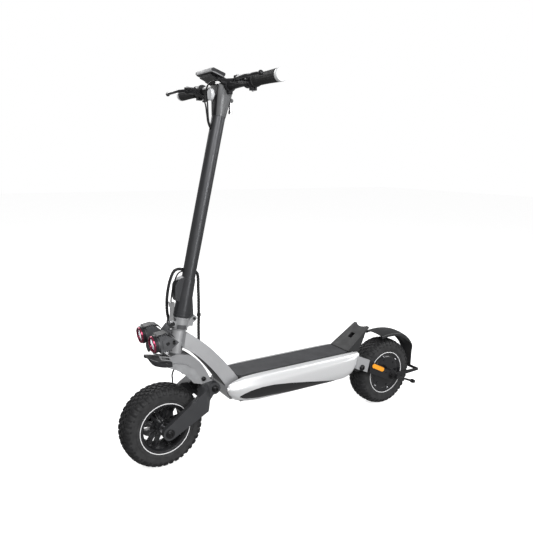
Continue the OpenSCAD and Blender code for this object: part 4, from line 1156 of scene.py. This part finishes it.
def grip_pair():
    """Rubber grips with a diamond relief, and their pale end caps."""
    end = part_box("grips")[1][1]
    start, cap_length = 178 * MM, 11 * MM
    length = end - start - cap_length
    build = Build()
    sides, gap, ridges = 72, 1.25 * MM, 9
    rings = []
    count = int(length / gap)
    for i in range(count + 1):
        y = length * i / count
        t = y / length
        base = (16.2 - 0.9 * math.sin(math.pi * min(t * 1.15, 1)) + 0.5 * t) * MM
        if y < 4 * MM:
            base = 18.8 * MM
        ring = []
        for k in range(sides):
            a = TAU * k / sides
            turn, along_grip = ridges * a, y / (2.6 * MM)
            wave = math.sin(turn + along_grip) * math.sin(turn - along_grip)
            relief = 0.45 * MM * max(-1.0, min(1.0, wave * 2.2)) if y > 7 * MM else 0.0
            r = base + relief
            ring.append(Vector((BAR_X * MM + r * math.cos(a), start + y,
                                BAR_Z * MM + r * math.sin(a))))
        rings.append(ring)
    build.add(*loft(rings))
    build.mirror_y()
    build.piece("grip_sleeves", [MAT["grip_rubber"]], "stem", 45,
                replaces=("grips",))
    caps = Build()
    y = end / MM
    profile = [(0.0, y - 14), (16.4, y - 14), (17.2, y - 12.5), (17.4, y - 4), (16.6, y - 1.2),
               (14.6, y - 0.2), (5.2, y), (4.4, y - 1.6), (0.0, y - 1.8)]
    caps.turn(profile, BAR_PLACE, 60)
    caps.mirror_y()
    caps.piece("grip_end_caps", [MAT["cap_white"]], "stem", 30)


def lever_blade(side):
    """Forged lever: round eye, hollow for two fingers, ball end."""
    word = "left" if side > 0 else "right"
    build = Build()
    plan = ((298, 160), (305, 172), (311.5, 190), (313, 215), (310.5, 240), (310, 262),
            (308, 280), (306, 290))
    line = resample(catmull([mm(x, y, BAR_Z) for x, y in plan], 6), 3 * MM)
    rings = []
    for i, p in enumerate(line):
        t = tangent(line, i)
        s = i / (len(line) - 1)
        wide = (4.6 - 1.5 * math.sin(math.pi * min(s * 1.25, 1)) + 1.3 * s) * MM
        tall = (4.8 - 0.9 * s) * MM
        out = t.cross(Vector((0, 0, 1))).normalized()
        ring = []
        for k in range(20):
            a = TAU * k / 20
            c, d = math.cos(a), math.sin(a)
            ring.append(p + out * (wide * math.copysign(abs(c) ** 0.75, c))
                        + Vector((0, 0, tall * math.copysign(abs(d) ** 0.75, d))))
        rings.append(ring)
    build.add(*loft(rings))
    ball_r = 7
    turns = [math.radians(a) for a in range(-75, 76, 15)]
    ball = [(ball_r * math.cos(a), ball_r * math.sin(a)) for a in turns]
    ball = [(0.0, -ball_r)] + ball + [(0.0, ball_r)]
    build.turn(ball, Matrix.Translation(mm(*plan[-1], BAR_Z)), 28)
    eye = [(3.1, -4.5), (8.2, -4.5), (9, -3.7), (9, 3.7), (8.2, 4.5), (3.1, 4.5)]
    build.turn(eye, Matrix.Translation(mm(*LEVER_PIVOT, BAR_Z)), 40, closed=True)
    if side < 0:
        build.flip_y()
    build.piece(f"lever_blade_{word}", [MAT["lever_black"]], f"{word}_lever", 35,
                replaces=(f"brake_lever_{word}",))


CORNER_STEPS = 6


def rounded_rect(x0, x1, half, r):
    """Rounded rectangle outline, anticlockwise, in local x and y."""
    pts = []
    for cx, cy, start in ((x1 - r, half - r, 0), (x0 + r, half - r, 90), (x0 + r, -half + r, 180),
                          (x1 - r, -half + r, 270)):
        for i in range(CORNER_STEPS + 1):
            a = math.radians(start + 90 * i / CORNER_STEPS)
            pts.append((cx + r * math.cos(a), cy + r * math.sin(a)))
    return pts


def display_unit():
    """Wedge-shaped display: pale side band, black face and glass."""
    tilt = math.radians(18.4)
    m = Matrix.Rotation(-tilt, 4, "Y")
    m.translation = mm(274.5, 0, 1158.7)
    case = Build()
    steps = [(-12.5, 4.0, 5), (-11.6, 1.6, 7), (-9.5, 0.4, 8), (-1.6, 0.0, 8), (-0.3, 0.8, 8),
             (0.0, 1.9, 7), (0.0, 4.2, 5), (-0.9, 4.6, 4.6)]
    rings = [[mm(x, y, z) for x, y in rounded_rect(0.2 + inset, 43 - inset, 53.7 - inset, r)]
             for z, inset, r in steps]
    case.add(*loft(rings), matrix=m)
    around = 4 * (CORNER_STEPS + 1)
    band = range(around, 4 * around)
    case.mats = [1 if i in band else 0 for i in range(len(case.faces))]
    case.piece("display_shell", [MAT["black_plastic"], MAT["lamp_grey"]], "stem",
               35)
    glass = Build()
    rings = [[mm(x, y, z) for x, y in rounded_rect(a, b, h, 4.4)]
             for z, a, b, h in ((-1.8, 5.0, 38.2, 48.9), (-0.5, 5.0, 38.2, 48.9),
                                (-0.25, 5.4, 37.8, 48.5))]
    glass.add(*loft(rings), matrix=m)
    glass.piece("display_glass", [MAT["screen"]], "stem", 35,
                replaces=("display_screen",))


# ---------------------------------------------------------------- rear end
def fender_shell():
    """Rear fender: broad over the tyre, narrowing to its stay."""
    hub = Vector((REAR.x, 0, REAR.z)) / MM
    arcs = (((37, 158), (10, 163), (-22, 163), (-52, 158)),
            ((-66, 155), (-104, 142), (-142, 104), (-151, 84)),
            ((-155, 72), (-159, 44), (-161, 20), (-166, -12)))
    top = []
    for arc in arcs:
        top += bezier(*[(hub.x + x, hub.z + z) for x, z in arc], 8)
    line = resample(catmull(top, 3), 5)
    broad, waist, tail = 45, 28, 18
    broad_z, waist_z, tail_z = 262, 190, 115
    build = Build()
    rings = []
    for i, p in enumerate(line):
        t = tangent(line, i)
        n = Vector((t.z, 0, -t.x))
        if n.dot(hub - p) > 0:
            n = -n
        if p.z > broad_z:
            half = broad
        elif p.z > waist_z:
            half = waist + (broad - waist) * ((p.z - waist_z) / (broad_z - waist_z)) ** 0.8
        else:
            half = tail + (waist - tail) * (p.z - tail_z) / (waist_z - tail_z)
        lip = 17 if p.z > 250 else 12
        ring = []
        for y, drop in ((-1.0, -lip), (-1.0, -9), (-0.96, -6.4), (-0.84, -4.2), (-0.45, -1.2),
                        (0, 0), (0.45, -1.2), (0.84, -4.2), (0.96, -6.4), (1.0, -9), (1.0, -lip),
                        (0.94, -lip), (0.93, -10), (0.82, -7.2), (0.45, -4.2), (0, -3),
                        (-0.45, -4.2), (-0.82, -7.2), (-0.93, -10), (-0.94, -lip)):
            ring.append((p + n * (drop - 1.2) + Vector((0, y * half, 0))) * MM)
        rings.append(ring)
    build.add(*loft(rings))
    return build.piece("fender_shell", [MAT["fender_grey"]], "rear_arm", 32,
                       replaces=("rear_fender",))


def reflector_frames():
    """Raised rim round each amber side reflector, a slot shape with round ends."""
    build = Build()
    slope = math.radians(27)
    c, s = math.cos(slope), math.sin(slope)
    half, points = 25, 40
    rings = []
    for r, y in ((9.6, 69.5), (9.6, 72.8), (9.0, 73.6), (8.2, 73.6), (8.0, 69.5)):
        ring = []
        for i in range(points):
            a = TAU * i / points
            x = (half if math.cos(a) > 0 else -half) + r * math.cos(a)
            z = r * math.sin(a)
            ring.append(mm(-356 + x * c - z * s, y, 172 + x * s + z * c))
        rings.append(ring)
    build.add(*loft(rings, caps=False))
    build.mirror_y()
    return build.piece("reflector_frames", [MAT["arm_black"]], "rear_arm", 30)


# ---------------------------------------------------------------- stage and camera
def add_camera():
    """Stands where the photographer stood, at the left front of the scooter."""
    eye = Vector((1.0489, 1.4944, 0.9215))
    yaw, pitch, roll = (math.radians(a) for a in (-122.53, -10.83, 0.85))
    look = Vector((math.cos(pitch) * math.cos(yaw), math.cos(pitch) * math.sin(yaw),
                   math.sin(pitch)))
    right = look.cross(Vector((0, 0, 1))).normalized()
    up = right.cross(look)
    turned = right * math.cos(roll) + up * math.sin(roll)
    upright = up * math.cos(roll) - right * math.sin(roll)
    data = bpy.data.cameras.new("camera")
    data.sensor_width = 36
    data.lens = 37.54
    data.clip_end = 50
    cam = bpy.data.objects.new("camera", data)
    m = Matrix((turned, upright, -look)).transposed().to_4x4()
    m.translation = eye
    cam.matrix_world = m
    bpy.context.scene.collection.objects.link(cam)
    bpy.context.scene.camera = cam


def add_light(name, place, target, size, power):
    """Soft box at place, turned to its target."""
    data = bpy.data.lights.new(name, "AREA")
    data.shape = "RECTANGLE"
    data.size, data.size_y = size
    data.energy = power
    lamp = bpy.data.objects.new(name, data)
    lamp.matrix_world = axis_matrix(place, Vector(place) - Vector(target))
    bpy.context.scene.collection.objects.link(lamp)


def add_stage():
    """Pale floor, white surroundings and four soft boxes."""
    build = Build()
    reach = 14.0
    build.add([(-reach, -reach, 0), (reach, -reach, 0), (reach, reach, 0), (-reach, reach, 0)],
              [(0, 1, 2, 3)])
    mesh = bpy.data.meshes.new("floor")
    mesh.from_pydata([tuple(v) for v in build.verts], [], build.faces)
    floor = bpy.data.objects.new("floor", mesh)
    s = Shader("floor", (0.8, 0.8, 0.8), 0.9)
    s.vary_color(s.noise(3, 3.0), 0.99, 1.01)
    s.set(Emission_Color=(1, 1, 1, 1), Emission_Strength=0.7)
    mesh.materials.append(s.mat)
    floor.visible_diffuse = False
    floor.visible_glossy = False
    bpy.context.scene.collection.objects.link(floor)
    world = bpy.data.worlds.new("studio")
    world.use_nodes = True
    tree = world.node_tree
    light = tree.nodes["Background"]
    backdrop = tree.nodes.new("ShaderNodeBackground")
    for part, strength in ((light, 0.34), (backdrop, 1.0)):
        part.inputs["Strength"].default_value = strength
        part.inputs["Color"].default_value = (1, 1, 1, 1)
    seen = tree.nodes.new("ShaderNodeLightPath")
    mix = tree.nodes.new("ShaderNodeMixShader")
    tree.links.new(seen.outputs["Is Camera Ray"], mix.inputs[0])
    tree.links.new(light.outputs[0], mix.inputs[1])
    tree.links.new(backdrop.outputs[0], mix.inputs[2])
    tree.links.new(mix.outputs[0], tree.nodes["World Output"].inputs["Surface"])
    bpy.context.scene.world = world
    add_light("key", (1.6, 2.6, 2.6), (0, 0, 0.3), (1.8, 1.4), 85)
    add_light("side", (-2.4, 1.4, 1.6), (0, 0, 0.3), (1.2, 1.6), 30)
    add_light("back", (0.2, -2.6, 2.2), (0, 0, 0.5), (2.4, 1.0), 40)
    add_light("strip", (-0.1, 3.0, 1.2), (0.3, 0, 0.75), (0.5, 2.0), 42)
    bpy.context.scene.view_settings.view_transform = "Standard"


add_camera()
add_stage()
dress_cad()
knobby_tyre("front_tyre_knobs", FRONT, "front_wheel", "front_tyre")
knobby_tyre("rear_tyre_knobs", REAR, "rear_wheel", "rear_tyre")
rim_stripes("front_stripe", FRONT, "front_wheel")
rim_stripes("rear_stripe", REAR, "rear_wheel")
side_cover(1, "side_cover_left")
side_cover(-1, "side_cover_right")
trim_blades()
neck_underside_strip()
hook_pocket()
all_bolts()
lamp_parts(1)
lamp_parts(-1)
guard_nose_and_painted_shadow()
steering_rings()
cables()
handlebar_tube()
grip_pair()
lever_blade(1)
lever_blade(-1)
display_unit()
fender_shell()
reflector_frames()
